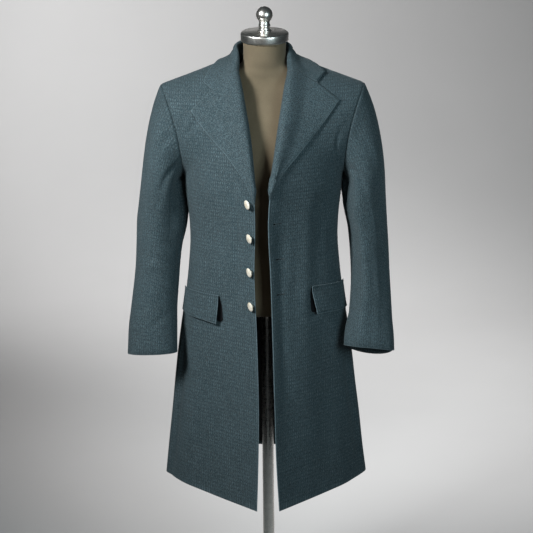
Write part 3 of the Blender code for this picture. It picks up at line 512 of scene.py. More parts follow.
def yoke_rows(side, shares, columns, front):
    """Rows above the underarm, from the armhole to the neck or the centre line."""
    share = np.asarray(shares, float)[:, None]
    outer = armhole_points(side, -90 + 180 * share, front)
    inner = roll_points(side, share) if front else back_inner_points(side, share)
    ahead = -1 if front else 1
    chord = np.linalg.norm(inner - outer, axis=-1, keepdims=True)
    swing = np.radians(90 * share**0.62)
    leave = points_of(-side * np.sin(swing), ahead * np.cos(swing), 0)
    arrive = np.radians(27 * (1 - share) ** 2) if front else np.zeros_like(share)
    come = points_of(side * np.cos(arrive), -ahead * np.sin(arrive), 0)
    slope = (inner[..., 2] - outer[..., 2]) / 3
    squared = 0.003 * smooth_step((share - 0.6) / 0.4)
    hollow = 0.008 * smooth_step((share - 0.7) / 0.3)
    first = outer + leave * chord * 0.36 + points_of(0, 0, slope + squared)
    second = inner + come * chord * 0.36 + points_of(0, 0, -slope - hollow)
    return bezier(outer, first, second, inner, np.broadcast_to(columns, (len(shares), len(columns))))


# ---------------------------------------------------------------- creases laid into the cloth
# Soft troughs and ridges on the fronts and backs, from one place to another in the front or back
# view: x out from the coat's centre and height z. A negative depth is a trough.
Crease = namedtuple("Crease", "side front x0 z0 x1 z1 width depth")
CREASES = rows_of(
    Crease,
    (RIGHT, True, 0.148, 1.372, 0.178, 1.315, 0.0095, -0.0034),
    (RIGHT, True, 0.170, 1.375, 0.190, 1.330, 0.0070, -0.0022),
    (RIGHT, True, 0.074, 1.225, 0.066, 0.940, 0.0120, -0.0030),
    (RIGHT, True, 0.150, 1.085, 0.110, 1.060, 0.0120, -0.0016),
    (RIGHT, True, 0.120, 1.020, 0.165, 1.045, 0.0110, -0.0014),
    (LEFT, True, 0.043, 1.180, 0.050, 0.680, 0.0210, -0.0050),
    (LEFT, True, 0.102, 1.170, 0.108, 0.560, 0.0320, 0.0050),
    (LEFT, True, 0.020, 1.145, 0.050, 1.065, 0.0110, -0.0022),
    (LEFT, True, 0.028, 1.075, 0.046, 1.000, 0.0090, -0.0018),
    (LEFT, True, 0.150, 1.200, 0.128, 1.060, 0.0160, -0.0026),
    (LEFT, True, 0.045, 1.010, 0.085, 0.962, 0.0100, -0.0014),
    (LEFT, True, 0.185, 1.335, 0.168, 1.275, 0.0080, -0.0022),
    (RIGHT, False, 0.150, 1.330, 0.175, 1.270, 0.0090, -0.0030),
    (LEFT, False, 0.150, 1.335, 0.178, 1.262, 0.0090, -0.0034),
    (RIGHT, False, 0.030, 1.060, 0.120, 1.040, 0.0120, -0.0022),
    (LEFT, False, 0.030, 1.075, 0.110, 1.035, 0.0110, -0.0024),
    (RIGHT, False, 0.060, 1.110, 0.140, 1.095, 0.0110, -0.0014),
    (LEFT, False, 0.050, 1.020, 0.130, 1.000, 0.0110, -0.0014),
)

# The same on the sleeves: angle round the arm from its outside, height, and the way it runs.
ArmCrease = namedtuple("ArmCrease", "side angle height tilt length width depth")
ARM_CREASES = rows_of(
    ArmCrease,
    (LEFT, 112, 1.040, 90, 0.200, 0.0170, 0.0052),
    (LEFT, 50, 1.000, 90, 0.220, 0.0340, -0.0095),
    (LEFT, 84, 0.940, 90, 0.130, 0.0200, -0.0042),
    (RIGHT, 140, 1.315, 84, 0.050, 0.0200, -0.0060),
    (LEFT, 166, 1.150, 90, 0.170, 0.0130, -0.0080),
    (RIGHT, 163, 1.130, 90, 0.210, 0.0130, -0.0070),
    (RIGHT, 122, 1.105, 88, 0.075, 0.0400, -0.0120),
    (RIGHT, 148, 1.175, 90, 0.070, 0.0200, -0.0070),
    (LEFT, 152, 1.195, 90, 0.050, 0.0180, -0.0034),
    (RIGHT, 75, 1.300, 70, 0.060, 0.0110, -0.0026),
    (RIGHT, 110, 1.225, 62, 0.050, 0.0110, -0.0036),
    (RIGHT, 70, 1.120, 78, 0.080, 0.0140, -0.0012),
    (RIGHT, 95, 1.020, -28, 0.036, 0.0120, -0.0020),
    (RIGHT, 105, 0.985, -16, 0.034, 0.0110, -0.0013),
    (RIGHT, 100, 1.055, -35, 0.030, 0.0120, -0.0014),
    (RIGHT, 60, 0.900, 80, 0.060, 0.0130, -0.0016),
    (RIGHT, 110, 0.880, 30, 0.030, 0.0100, -0.0022),
    (LEFT, 70, 1.290, 74, 0.060, 0.0120, -0.0022),
    (LEFT, 112, 1.215, 60, 0.050, 0.0110, -0.0034),
    (LEFT, 80, 1.100, 82, 0.070, 0.0130, -0.0018),
    (LEFT, 100, 1.010, -25, 0.034, 0.0110, -0.0014),
    (LEFT, 106, 0.968, -14, 0.032, 0.0100, -0.0010),
    (LEFT, 62, 0.905, 78, 0.050, 0.0110, -0.0010),
    (RIGHT, -70, 1.260, -66, 0.060, 0.0120, -0.0040),
    (RIGHT, -95, 1.190, -60, 0.050, 0.0120, -0.0034),
    (RIGHT, -80, 1.030, 24, 0.036, 0.0110, -0.0030),
    (LEFT, -70, 1.255, -66, 0.060, 0.0120, -0.0040),
    (LEFT, -92, 1.180, -60, 0.050, 0.0120, -0.0034),
    (LEFT, -85, 1.020, 22, 0.036, 0.0110, -0.0030),
)
CREASE_BOW = 0.010  # the most that a crease bends sideways
ARM_RADIUS = 0.055  # what an angle round the arm is worth as a length


def fold_profile(off):
    """A trough's depth across it, off being in its widths, with the cloth rising a little beside it."""
    return (1 - 0.75 * off**2) * np.exp(-(off**2))


def panel_creases(side, front, grid):
    """How far the creases of one panel move its points out."""
    x, z = side * (grid[..., 0] - COAT_CENTRE), grid[..., 2]
    push = np.zeros(x.shape)
    for crease in CREASES:
        if crease.side == side and crease.front == front:
            way = np.array((crease.x1 - crease.x0, crease.z1 - crease.z0))
            length = np.linalg.norm(way)
            t = ((x - crease.x0) * way[0] + (z - crease.z0) * way[1]) / length**2
            off = ((x - crease.x0) * way[1] - (z - crease.z0) * way[0]) / length
            bow = min(0.12 * length, CREASE_BOW) * np.sin(np.clip(t, 0, 1) * math.pi)
            width = crease.width * (1 + 0.35 * np.sin(5 * t + 40 * crease.x0))
            ends = smooth_step((t + 0.20) / 0.55) * smooth_step((1.20 - t) / 0.45)
            push += crease.depth * ends * fold_profile((off - bow) / width)
    return push


def arm_creases(side, angle, height):
    push = np.zeros(np.broadcast(angle, height).shape)
    for crease in ARM_CREASES:
        if crease.side == side:
            turn = (angle - crease.angle + 180) % 360 - 180
            across, up = np.radians(turn) * ARM_RADIUS, height - crease.height
            tilt = math.radians(crease.tilt)
            t = (across * math.cos(tilt) + up * math.sin(tilt)) / crease.length
            off = (-across * math.sin(tilt) + up * math.cos(tilt)) / crease.width
            push = push + crease.depth * np.exp(-(t**2)) * fold_profile(off + 0.35 * t**2)
    return push


def drape(points, amount, grain):
    """Slow uneven waves over a piece of cloth, up to about amount, different for each grain."""
    x, y, z = points[..., 0], points[..., 1], points[..., 2]
    waves = (
        np.sin(31 * x + 9 * z + 1.7 * grain)
        + np.sin(17 * z - 23 * y + 3.1 * grain)
        + 0.7 * np.sin(52 * x - 26 * z + 2.3 * grain)
        + 0.5 * np.sin(61 * y + 40 * z + 4.9 * grain)
    )
    return amount * waves / 3.2


# ---------------------------------------------------------------- thin shells
def open_rim(rows, columns):
    """The grid's border in order, as rows and columns."""
    rim = [(0, c) for c in range(columns)]
    rim += [(r, columns - 1) for r in range(1, rows)]
    rim += [(rows - 1, c) for c in range(columns - 2, -1, -1)]
    rim += [(r, 0) for r in range(rows - 2, 0, -1)]
    return np.array(rim)


def grid_faces(rows, columns):
    """The faces of a grid of points, by their four corners."""
    r, c = np.meshgrid(np.arange(rows - 1), np.arange(columns - 1), indexing="ij")
    a = (r * columns + c).ravel()
    return np.stack([a, a + 1, a + columns + 1, a + columns], axis=1)


def closed_faces(rings, sides):
    """The faces of rings one above the other, with the two points that close the ends last."""
    faces = []
    ring = [(k, (k + 1) % sides) for k in range(sides)]
    for a in range(0, (rings - 1) * sides, sides):
        faces += [(a + k, a + after, a + sides + after, a + sides + k) for k, after in ring]
    foot, last = rings * sides, (rings - 1) * sides
    faces += [(foot, after, k) for k, after in ring]
    return faces + [(foot + 1, last + k, last + after) for k, after in ring]


def rim_outwards(grid, sides):
    """For the border of a grid, which way the cloth ends, scaled by how full each side's fold is."""
    out = np.zeros_like(grid)
    out[:, 0] += unit(grid[:, 0] - grid[:, 1]) * sides["first_column"][:, None]
    out[:, -1] += unit(grid[:, -1] - grid[:, -2]) * sides["last_column"][:, None]
    out[0] += unit(grid[0] - grid[1]) * sides["first_row"]
    out[-1] += unit(grid[-1] - grid[-2]) * sides["last_row"]
    size = np.linalg.norm(out, axis=-1, keepdims=True)
    return out / np.maximum(size, 1.0)


def put_in_scene(name, data):
    made = bpy.data.objects.new(name, data)
    bpy.context.scene.collection.objects.link(made)
    return made


def stands_in(node):
    """Hides the solid that node names, which the piece shows in place of."""
    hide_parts(node)


def mesh_piece(name, points, faces, finishes, face_finish=None, flat=None, edge=None):
    """A mesh object with smooth faces that look outwards, and its cloth coordinates where it has them."""
    mesh = bpy.data.meshes.new(name)
    mesh.from_pydata(np.asarray(points).tolist(), [], [list(f) for f in faces])
    bm = bmesh.new()
    bm.from_mesh(mesh)
    bmesh.ops.recalc_face_normals(bm, faces=bm.faces)
    bm.to_mesh(mesh)
    bm.free()
    mesh.shade_smooth()
    for finish in finishes:
        mesh.materials.append(finish)
    if face_finish is not None:
        mesh.polygons.foreach_set("material_index", np.asarray(face_finish, np.int32))
    if flat is not None:
        corners = np.zeros(len(mesh.loops), np.int32)
        mesh.loops.foreach_get("vertex_index", corners)
        layer = mesh.uv_layers.new(name="cloth")
        layer.uv.foreach_set("vector", np.asarray(flat, np.float32)[corners].ravel())
    # Each point's distance to the nearest finished edge; the wool pales there, partly as wear and partly as a
    # painted highlight.
    if edge is not None:
        values = mesh.attributes.new("edge", "FLOAT", "POINT")
        values.data.foreach_set("value", np.asarray(edge, np.float32).ravel())
    piece = put_in_scene(name, mesh)
    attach(piece, "root")
    return piece


RIM_STEPS = ((0.18, 0.62), (0.50, 1.0), (0.82, 0.62))  # share of the thickness, and of the fold's fullness


def shell(name, grid, inward, thickness, flat, finishes, inner_finish=None, edge=None, **fullness):
    """A closed thin shell on a grid of outer points. fullness rounds the sides that are folded edges."""
    rows, columns = grid.shape[:2]
    sides = {
        side: np.broadcast_to(np.asarray(fullness.get(side, 0.0), float), count)
        for side, count in (
            ("first_column", rows),
            ("last_column", rows),
            ("first_row", 1),
            ("last_row", 1),
        )
    }
    sides["first_row"] = float(sides["first_row"][0])
    sides["last_row"] = float(sides["last_row"][0])
    thickness = np.broadcast_to(thickness, (rows, columns))[..., None]
    inner = grid + inward * thickness
    out = rim_outwards(grid, sides)
    rim = open_rim(rows, columns)
    border = rim[:, 0], rim[:, 1]
    layers = [grid.reshape(-1, 3), inner.reshape(-1, 3)]
    for share, full in RIM_STEPS:
        turned_out = inward[border] * share + out[border] * full * 0.45
        layers.append(grid[border] + turned_out * thickness[border])
    points = np.vstack(layers)

    outer_faces = grid_faces(rows, columns)
    inner_faces = outer_faces[:, ::-1] + rows * columns
    here = rim[:, 0] * columns + rim[:, 1]
    ring = np.arange(len(rim))
    chain = [here] + [2 * rows * columns + k * len(rim) + ring for k in range(len(RIM_STEPS))]
    chain.append(here + rows * columns)
    rim_faces = [
        np.stack([low, np.roll(low, -1), np.roll(high, -1), high], axis=1)[:, ::-1]
        for low, high in zip(chain[:-1], chain[1:])
    ]
    faces = np.vstack([outer_faces, inner_faces] + rim_faces)
    face_finish = np.zeros(len(faces), np.int32)
    if inner_finish is not None:
        face_finish[len(outer_faces) : 2 * len(outer_faces)] = inner_finish[:-1, :-1].ravel()
    per_point = [flat.reshape(-1, 2)] * 2 + [flat[border]] * len(RIM_STEPS)
    if edge is None:
        edge = np.full(grid.shape[:2], NO_EDGE_WEAR_OR_SHEEN)
    edge_wear_and_sheen = [edge.ravel(), edge.ravel()] + [edge[border]] * len(RIM_STEPS)
    return mesh_piece(
        name, points, faces, finishes, face_finish, np.vstack(per_point), np.concatenate(edge_wear_and_sheen)
    )


def groove(distance, at, width, depth):
    return -depth * np.exp(-(((distance - at) / width) ** 2))


STITCH_LINE = 0.0052  # the edge stitching's distance from the edge


def pressed_edge(distance):
    """Across a pressed, stitched edge: a line drawn down by its stitches, and a slight roll."""
    roll = 0.00030 * np.exp(-(((distance - 0.0022) / 0.0016) ** 2))
    return roll + groove(distance, STITCH_LINE, 0.0011, 0.00042)


# ---------------------------------------------------------------- fronts and backs
HEM_ROWS = (0.0, 0.0010, 0.0026, 0.0050, 0.0090, 0.0140)
BODY_STEPS = 124
YOKE_STEPS = 52
DENSE = 161  # points on each row before it is spaced evenly
COLUMN_STEPS = {True: 44, False: 34}  # for a front, for a back


def level_lengths(table, heights):
    """How far up the cloth each height is, where the cloth slopes as the table says."""
    fine = np.linspace(HEM, NECK_SIDE + 0.01, 400)
    depth = along(table, "height", "depth", fine)
    steps = np.hypot(np.diff(fine), np.diff(depth))
    return np.interp(heights, fine, np.insert(np.cumsum(steps), 0, 0.0))


def panel(side, front):
    """A panel's outer points, side seam to front edge or centre back, hem to shoulder seam."""
    shares = np.linspace(0, 1, DENSE)
    inner_turn = 1.0 if front else 0.0
    near_inner = NEAR_EDGE if front else NEAR_SEAM
    heights = np.concatenate([HEM + np.array(HEM_ROWS), np.linspace(HEM + 0.020, UNDERARM, BODY_STEPS)])
    turns = SIDE_SEAM + (inner_turn - SIDE_SEAM) * shares
    count = COLUMN_STEPS[front]
    lower = respaced(body_points(side, turns[None], heights[:, None]), NEAR_SEAM, count, near_inner)
    rises = np.linspace(0, 1, 3 * YOKE_STEPS)
    upper = respaced(yoke_rows(side, rises, shares, front), NEAR_SEAM, count, near_inner)
    step = lower[-1] - upper[0]
    upper += step * (1 - smooth_step(rises / 0.34))[:, None, None]
    upper = respaced(upper.transpose(1, 0, 2), (0.0,), YOKE_STEPS, NEAR_SEAM).transpose(1, 0, 2)
    grid = np.vstack([lower[:-1], upper])
    row = np.arange(len(grid))[:, None] - (len(lower) - 1)
    ease = np.exp(-((row / 7.0) ** 2)) * np.ones(grid.shape[1])
    return relaxed(grid, ease, 30), len(lower)


def panel_flat(side, front, grid):
    """Where each point of a panel is on the uncut cloth, with the grain straight down."""
    lengths = run_lengths(grid, 1)
    across = lengths[:, -1:] - lengths
    inner = np.abs(grid[:, -1, 0] - COAT_CENTRE)
    plumb = along(FRONT_EDGE, "height", SIDE_NAMES[side], UNDERARM) if front else 0.0
    above = grid[:, -1, 2] > UNDERARM
    across = across + np.where(above, (inner - plumb) * 1.04, 0.0)[:, None]
    up = level_lengths(ROLL_LINE if front else CENTRE_BACK, grid[..., 2])
    return np.stack([across, up], axis=-1)


def lap_vent(grid):
    """Below the waist the right back runs on past the centre, sunk under the left one."""
    x, y, z = np.moveaxis(grid, 2, 0)
    near = smooth_step(1 - np.abs(x - COAT_CENTRE) / 0.075)
    sunk = smooth_step((VENT_TOP + 0.040 - z) / 0.040)
    lapped = smooth_step((VENT_TOP - 0.010 - z) / 0.050)
    return np.stack([x + VENT_LAP * lapped * near, y - VENT_SINK * sunk * near, z], axis=2)


def pocket_mouth(side, grid):
    """The cloth sinks in a narrow wedge beside the flap's front end."""
    flap = FLAPS[side]
    x, z = side * (grid[..., 0] - COAT_CENTRE), grid[..., 2]
    top = body_points(side, flap.front, flap.front_top)
    foot_turn = flap.front + flap.front_low_shift
    foot = body_points(side, foot_turn, flap.front_top - flap.front_drop)
    down = np.clip((top[2] - z) / flap.front_drop, -0.3, 1.3)
    edge_x = side * (top[0] - COAT_CENTRE) * (1 - down) + side * (foot[0] - COAT_CENTRE) * down
    width = 0.006 + 0.005 * np.clip(down, 0, 1)
    off = (x - edge_x + 0.3 * width) / width
    ends = smooth_step((down + 0.05) / 0.45) * smooth_step((1.25 - down) / 0.25)
    return -0.0052 * ends * np.exp(-(off**2))


def build_panels(wool, satin):
    """The two fronts and the two backs. Returns each panel's grid and outward directions."""
    made = {}
    for side in (RIGHT, LEFT):
        for front in (True, False):
            grid, low_rows = panel(side, front)
            outward = grid_normals(grid) * (-side if front else side)
            push = panel_creases(side, front, grid) + drape(grid, 0.0011, side + 2 * front)
            if front:
                push += pocket_mouth(side, grid)
            inset = run_lengths(grid, 1)
            to_inner = inset[:, -1:] - inset
            to_top = run_lengths(grid, 0)
            to_top = to_top[-1:] - to_top
            quiet = smooth_step(inset / 0.030) * smooth_step(to_inner / 0.030) * smooth_step(to_top / 0.04)
            push = push * quiet
            grid = grid + outward * push[..., None]
            outward = grid_normals(grid) * (-side if front else side)
            made["front" if front else "back", side] = (grid, outward, inset, to_inner, to_top, low_rows)
    for side in (RIGHT, LEFT):
        meet_at_seams(made["front", side], made["back", side])
    for (part, side), (grid, outward, inset, to_inner, to_top, low_rows) in made.items():
        front = part == "front"
        flat = panel_flat(side, front, grid)
        dip = groove(inset, 0, SEAM_DIP_WIDTH, SEAM_DIP) + groove(to_top, 0, SEAM_DIP_WIDTH, SEAM_DIP)
        height = grid[..., 2]
        if front:
            below_break = smooth_step((BREAK - 0.004 - height) / 0.012)
            dip += pressed_edge(to_inner) * below_break
            edge_wear_and_sheen = np.where(below_break > 0, to_inner, NO_EDGE_WEAR_OR_SHEEN)
            inner = (to_inner > FACING).astype(np.int32)
            fold = (height[:, -1] < BREAK).astype(float)
        else:
            vent = smooth_step((VENT_TOP - 0.008 - height) / 0.008)
            dip += groove(to_inner, 0, SEAM_DIP_WIDTH, SEAM_DIP) * (1 - vent)
            edge_wear_and_sheen = np.where(vent > 0, to_inner, NO_EDGE_WEAR_OR_SHEEN)
            inner = (height > HEM + TURN_UP).astype(np.int32)
            fold = vent[:, -1]
        edge_wear_and_sheen = np.minimum(edge_wear_and_sheen, height - HEM + FRONT_DIP)
        shaped = grid + outward * dip[..., None]
        if part == "back" and side == RIGHT:
            shaped = lap_vent(shaped)
        name, folded = f"coat_{part}_{SIDE_NAMES[side]}", {"last_column": fold, "first_row": 1.0}
        piece = shell(name, shaped, -outward, CLOTH, flat, [wool, satin], inner, edge_wear_and_sheen, **folded)
        stands_in(f"{part}_{SIDE_NAMES[side]}")
        made[part, side] = (shaped, outward, inset, to_inner, piece)
    return made


def meet_at_seams(front, back):
    """The panels share one direction along the side seam and the shoulder seam."""
    front_out, back_out, rows = front[1], back[1], front[5]
    sewn = unit(front_out[:rows, 0] + back_out[:rows, 0])
    front_out[:rows, 0] = back_out[:rows, 0] = sewn
    for out in (front_out, back_out):
        out[-1] = unit(out[-1] + np.array((0, 0, 0.6)))


# ---------------------------------------------------------------- the back's lining
def build_linings(panels, satin):
    """The backs' skirt lining, inside the backs. The left one stops short of the vent's underlap."""
    for side in (RIGHT, LEFT):
        grid, outward, inset, to_inner, _ = panels["back", side]
        height = grid[:, 0, 2]
        rows = np.nonzero((height >= HEM + LINING_HEM) & (height <= LINING_TOP))[0]
        width = inset[:, -1][rows].min()
        last = 0.005 if side == RIGHT else width / 6
        columns = np.nonzero((inset[rows[0]] >= 0.004) & (to_inner[rows[0]] >= last))[0]
        part = np.ix_(rows, columns)
        laid = (grid - outward * (CLOTH + PLY_GAP))[part]
        flat = np.stack([inset[part], np.broadcast_to(height[rows][:, None], laid.shape[:2])], axis=-1)
        name = f"coat_lining_{SIDE_NAMES[side]}"
        piece = shell(name, laid, -outward[part], LINING, flat, [satin], first_row=1.0)
        stands_in(f"lining_{SIDE_NAMES[side]}")
        panels["lining", side] = piece


# ---------------------------------------------------------------- sleeves
CROWN_STEPS = 40
ARM_STEPS = 84
SEAM_ANGLES = (0.0, 0.9, 2.0, 4.0, 7.0)
CROWN_FULLNESS = 0.0011
ARMHOLE_DIP = 0.0016
ARMHOLE_DIP_WIDTH = 0.0024
SLEEVE_SEAM_DIP = 0.0003
SLEEVE_CLEARANCE = 0.0011
SLEEVE_REACH = 0.014
FLAT_RADIUS = 0.060  # a nominal radius, which gives the weave its width round a sleeve
SLEEVE_PARTS_AT = {RIGHT: 1.098, LEFT: 1.146}  # where the sleeve first stands clear of the body


def arm_rings(side, heights, angles):
    """Points of the sleeve below the underarm. An angle is 0 outside, 90 in front, 180 inside."""
    table = SLEEVES[side][::-1]
    x, y, wide, deep = (
        along(table, "height", column, heights) for column in ("x", "y", "half_width", "half_depth")
    )
    low, high = heights - 0.004, heights + 0.004
    lean = (along(table, "height", "y", high) - along(table, "height", "y", low)) / 0.008
    tip = (along(table, "height", "x", high) - along(table, "height", "x", low)) / 0.008
    a = np.radians(angles)
    across, ahead = wide * np.cos(a), -deep * np.sin(a)
    lean = lean * (1 + CUFF_DROP[side] * (ahead > 0) * smooth_step(1 - (heights - table[0].height) / 0.10))
    slant = CUFF_SLANT[side] * smooth_step(1 - (heights - table[0].height) / 0.08) * np.cos(a)
    return points_of(
        COAT_CENTRE + side * (x + across), y + ahead, heights - lean * ahead - tip * across - slant
    )


def crown_starts(side, angles):
    """The armhole's points that the sleeve's threads leave from, a seam's gap further out."""
    angles = np.mod(angles, 360)
    ahead = angles <= 180
    turn = np.where(ahead, 90 - angles, angles - 270)
    gap = SLEEVE_GAP + UNDERARM_GAP * smooth_step((-40 - turn) / 50)
    return armhole_points(side, turn, ahead) + points_of(side * gap, 0, 0)


def sleeve_tube(side, angles):
    """The whole sleeve, armhole to cuff, one column for each angle round the arm."""
    start = crown_starts(side, angles)
    top, cuff = SLEEVES[side][0].height, SLEEVES[side][-1].height
    end = arm_rings(side, top, angles)
    down = unit(arm_rings(side, top - 0.01, angles) - end)
    chord = np.linalg.norm(end - start, axis=-1, keepdims=True)
    up = (start[:, 2] - UNDERARM) / (SHOULDER - UNDERARM)
    leave = unit(points_of(side, 0, -0.7 - 0.8 * up))
    first = start + leave * (0.22 * chord + 0.002)
    second = end - down * chord * 0.42
    t = (np.arange(CROWN_STEPS) / CROWN_STEPS)[:, None] ** 1.25
    crown = bezier(start[None], first[None], second[None], end[None], t + 0 * angles[None])
    heights = np.linspace(top, cuff, ARM_STEPS + 1)[:, None]
    arm = arm_rings(side, heights, angles[None])
    return np.vstack([crown, arm])


def tube_outwards(side, grid):
    """Unit outward directions of a grid whose columns close into a ring."""
    across = np.roll(grid, -1, axis=1) - np.roll(grid, 1, axis=1)
    return side * unit(np.cross(across, np.gradient(grid, axis=0)))


def seam_angles(start, end, steps):
    near = np.array(SEAM_ANGLES)
    middle = np.linspace(start + near[-1], end - near[-1], steps)[1:-1]
    return np.concatenate([start + near, middle, end - near[::-1]])


def lean_on_body(tree, grid, angles, foot):
    """Below the underarm the sleeve's inner back fills the gap to the body, down to the height foot."""
    near = np.exp(-(((angles - 203) / 30) ** 4))[None] * smooth_step((grid[..., 2] - foot) / 0.028)
    leant = grid.copy()
    for row, column in zip(*np.nonzero((near > 0.01) & (grid[..., 2] < UNDERARM - 0.002))):
        point = Vector(grid[row, column])
        found, _, _, gap = tree.find_nearest(point)
        reach = min(max(gap - SLEEVE_CLEARANCE, 0.0), SLEEVE_REACH) * near[row, column]
        leant[row, column] += np.array(found - point) / gap * reach
    return leant


def build_sleeves(tree, wool, satin):
    """Each sleeve's top and under piece, cut from one tube with its crown a little full."""
    made = {}
    for side in (RIGHT, LEFT):
        top = seam_angles(TOP_SLEEVE_FROM, TOP_SLEEVE_TO, 58)
        under = seam_angles(TOP_SLEEVE_TO, TOP_SLEEVE_FROM + 360, 44)
        angles = np.concatenate([top[:-1], under[:-1]])
        tube = sleeve_tube(side, angles)
        row = np.arange(len(tube))[:, None] - CROWN_STEPS
        ease = 0.5 * np.exp(-((row / 9.0) ** 2)) * np.ones(tube.shape[1])
        closed = np.concatenate([tube[:, -1:], tube, tube[:, :1]], axis=1)
        tube = relaxed(closed, np.pad(ease, ((0, 0), (1, 1)), mode="edge"), 24)[:, 1:-1]
        outward = tube_outwards(side, tube)
        outward[0, :, 0] = 0
        outward[0] = unit(outward[0])
        down = run_lengths(tube, 0)
        raised = smooth_step((tube[0, :, 2] - 1.26) / 0.10)
        push = arm_creases(side, angles[None], tube[..., 2]) + drape(tube, 0.0013, 5 + side)
        push = push * smooth_step(down / 0.030)
        rope = CROWN_FULLNESS * raised * smooth_step(down / 0.0035) * np.exp(-((down / 0.016) ** 2))
        pucker = 0.00035 * np.sin(np.radians(angles) * 46 + 2 * np.sin(np.radians(angles) * 5))
        push = push + rope + pucker * np.exp(-(((down - 0.005) / 0.007) ** 2))
        to_cuff = down[-1:] - down
        push = push + groove(down, 0, ARMHOLE_DIP_WIDTH, ARMHOLE_DIP)
        for seam in (TOP_SLEEVE_FROM, TOP_SLEEVE_TO):
            off = np.radians((angles - seam + 180) % 360 - 180) * ARM_RADIUS
            push = push + groove(off, 0, SEAM_DIP_WIDTH, SLEEVE_SEAM_DIP)[None]
        shaped = lean_on_body(tree, tube + outward * push[..., None], angles % 360, SLEEVE_PARTS_AT[side])
        count = len(angles)
        for part, columns in (
            ("top", np.arange(len(top))),
            ("under", np.arange(len(top) - 1, count + 1) % count),
        ):
            grid = shaped[:, columns]
            turned_angles = np.unwrap(angles[columns], period=360)
            round_arm = np.radians(turned_angles)[None] * FLAT_RADIUS
            flat = np.stack([round_arm + 0 * down[:, columns], -down[:, columns]], axis=-1)
            inner = (to_cuff[:, columns] > TURN_UP).astype(np.int32)
            edge_wear_and_sheen = np.minimum(NO_EDGE_WEAR_OR_SHEEN, to_cuff[:, columns])
            name, inward = f"coat_sleeve_{SIDE_NAMES[side]}_{part}", -outward[:, columns]
            piece = shell(name, grid, inward, CLOTH, flat, [wool, satin], inner, edge_wear_and_sheen, last_row=1.0)
            stands_in(f"sleeve_{SIDE_NAMES[side]}_{part}")
            made[part, side] = piece
    return made


# ---------------------------------------------------------------- collar and lapels
ARC = np.radians(np.linspace(-90, 90, 9))
LAPEL_STEPS = 60
COLLAR_STEPS = 52
FALL_STEPS = 30  # across a lapel or the collar's fall


def surface_tree(grids):
    """A search tree over the outer faces of the body's panels."""
    points, faces = [], []
    for grid in grids:
        faces += (grid_faces(*grid.shape[:2]) + len(points)).tolist()
        points += grid.reshape(-1, 3).tolist()
    return BVHTree.FromPolygons(points, faces)


def outward_normal(point, normal):
    """The face normal that points away from the body's axis at that height."""
    middle = Vector((COAT_CENTRE, 0, min(point.z, 1.36)))
    return normal if normal.dot(point - middle) > 0 else -normal


def on_chest(tree, side, x, z, lift):
    """The chest's point at x and z in the front view, moved out by lift."""
    start = Vector((COAT_CENTRE + side * x, -1.0, z))
    found, normal, _, _ = tree.ray_cast(start, Vector((0, 1, 0)))
    if found is None:
        found, normal, _, _ = tree.find_nearest(Vector((start.x, -0.1, z)))
    return np.array(found + outward_normal(found, normal) * lift)


def settled(tree, point, lift, slack):
    """The point, moved along the body's normal to stand lift to lift + slack off the cloth under it."""
    found, normal, _, _ = tree.find_nearest(Vector(point))
    out = outward_normal(found, normal)
    height = (Vector(point) - found).dot(out)
    kept = min(max(height, lift), lift + slack)
    return np.array(Vector(point) + out * (kept - height))


def fold_over(seam, fold, away, out, radius=ROLL_RADIUS):
    """Where cloth stands up from its seam and turns over a fold."""
    centre = fold - away * radius
    arc = [centre + radius * (away * math.cos(a) + out * math.sin(a)) for a in ARC]
    rise = [seam + (arc[0] - seam) * share for share in (0.0, 0.25, 0.5, 0.75)]
    return rise + arc


def lapel_places(side):
    """For each row of a lapel, foot to gorge: its edge, bend and outer places, share, and how full it is."""
    places = []
    table = LAPELS[side]
    first = table[0]
    for full in np.linspace(0, 1, TAIL_STEPS, endpoint=False):
        height = LAPEL_FOOT[side] + (BODY[-1].height - LAPEL_FOOT[side]) * full
        edge = body_points(side, 1.0, height)
        edge_x = side * (edge[0] - COAT_CENTRE)
        width = TAIL_WIDTH + (first.edge_x - ROLL_LINE[0][1 if side == RIGHT else 2] - TAIL_WIDTH) * full**2
        drop = (first.edge_z - BODY[-1].height) * full
        bend = (edge_x + width / 2, height + drop / 2)
        places.append((edge, bend, (edge_x + width, height + drop), 0.0, full))
    for share in np.linspace(0, 1, LAPEL_STEPS + 1):
        place = [float(along(table, "share", name, share)) for name in Lapel._fields[1:]]
        places.append((roll_points(side, share * GORGE_SHARE), place[:2], place[2:], share, 1.0))
    return places


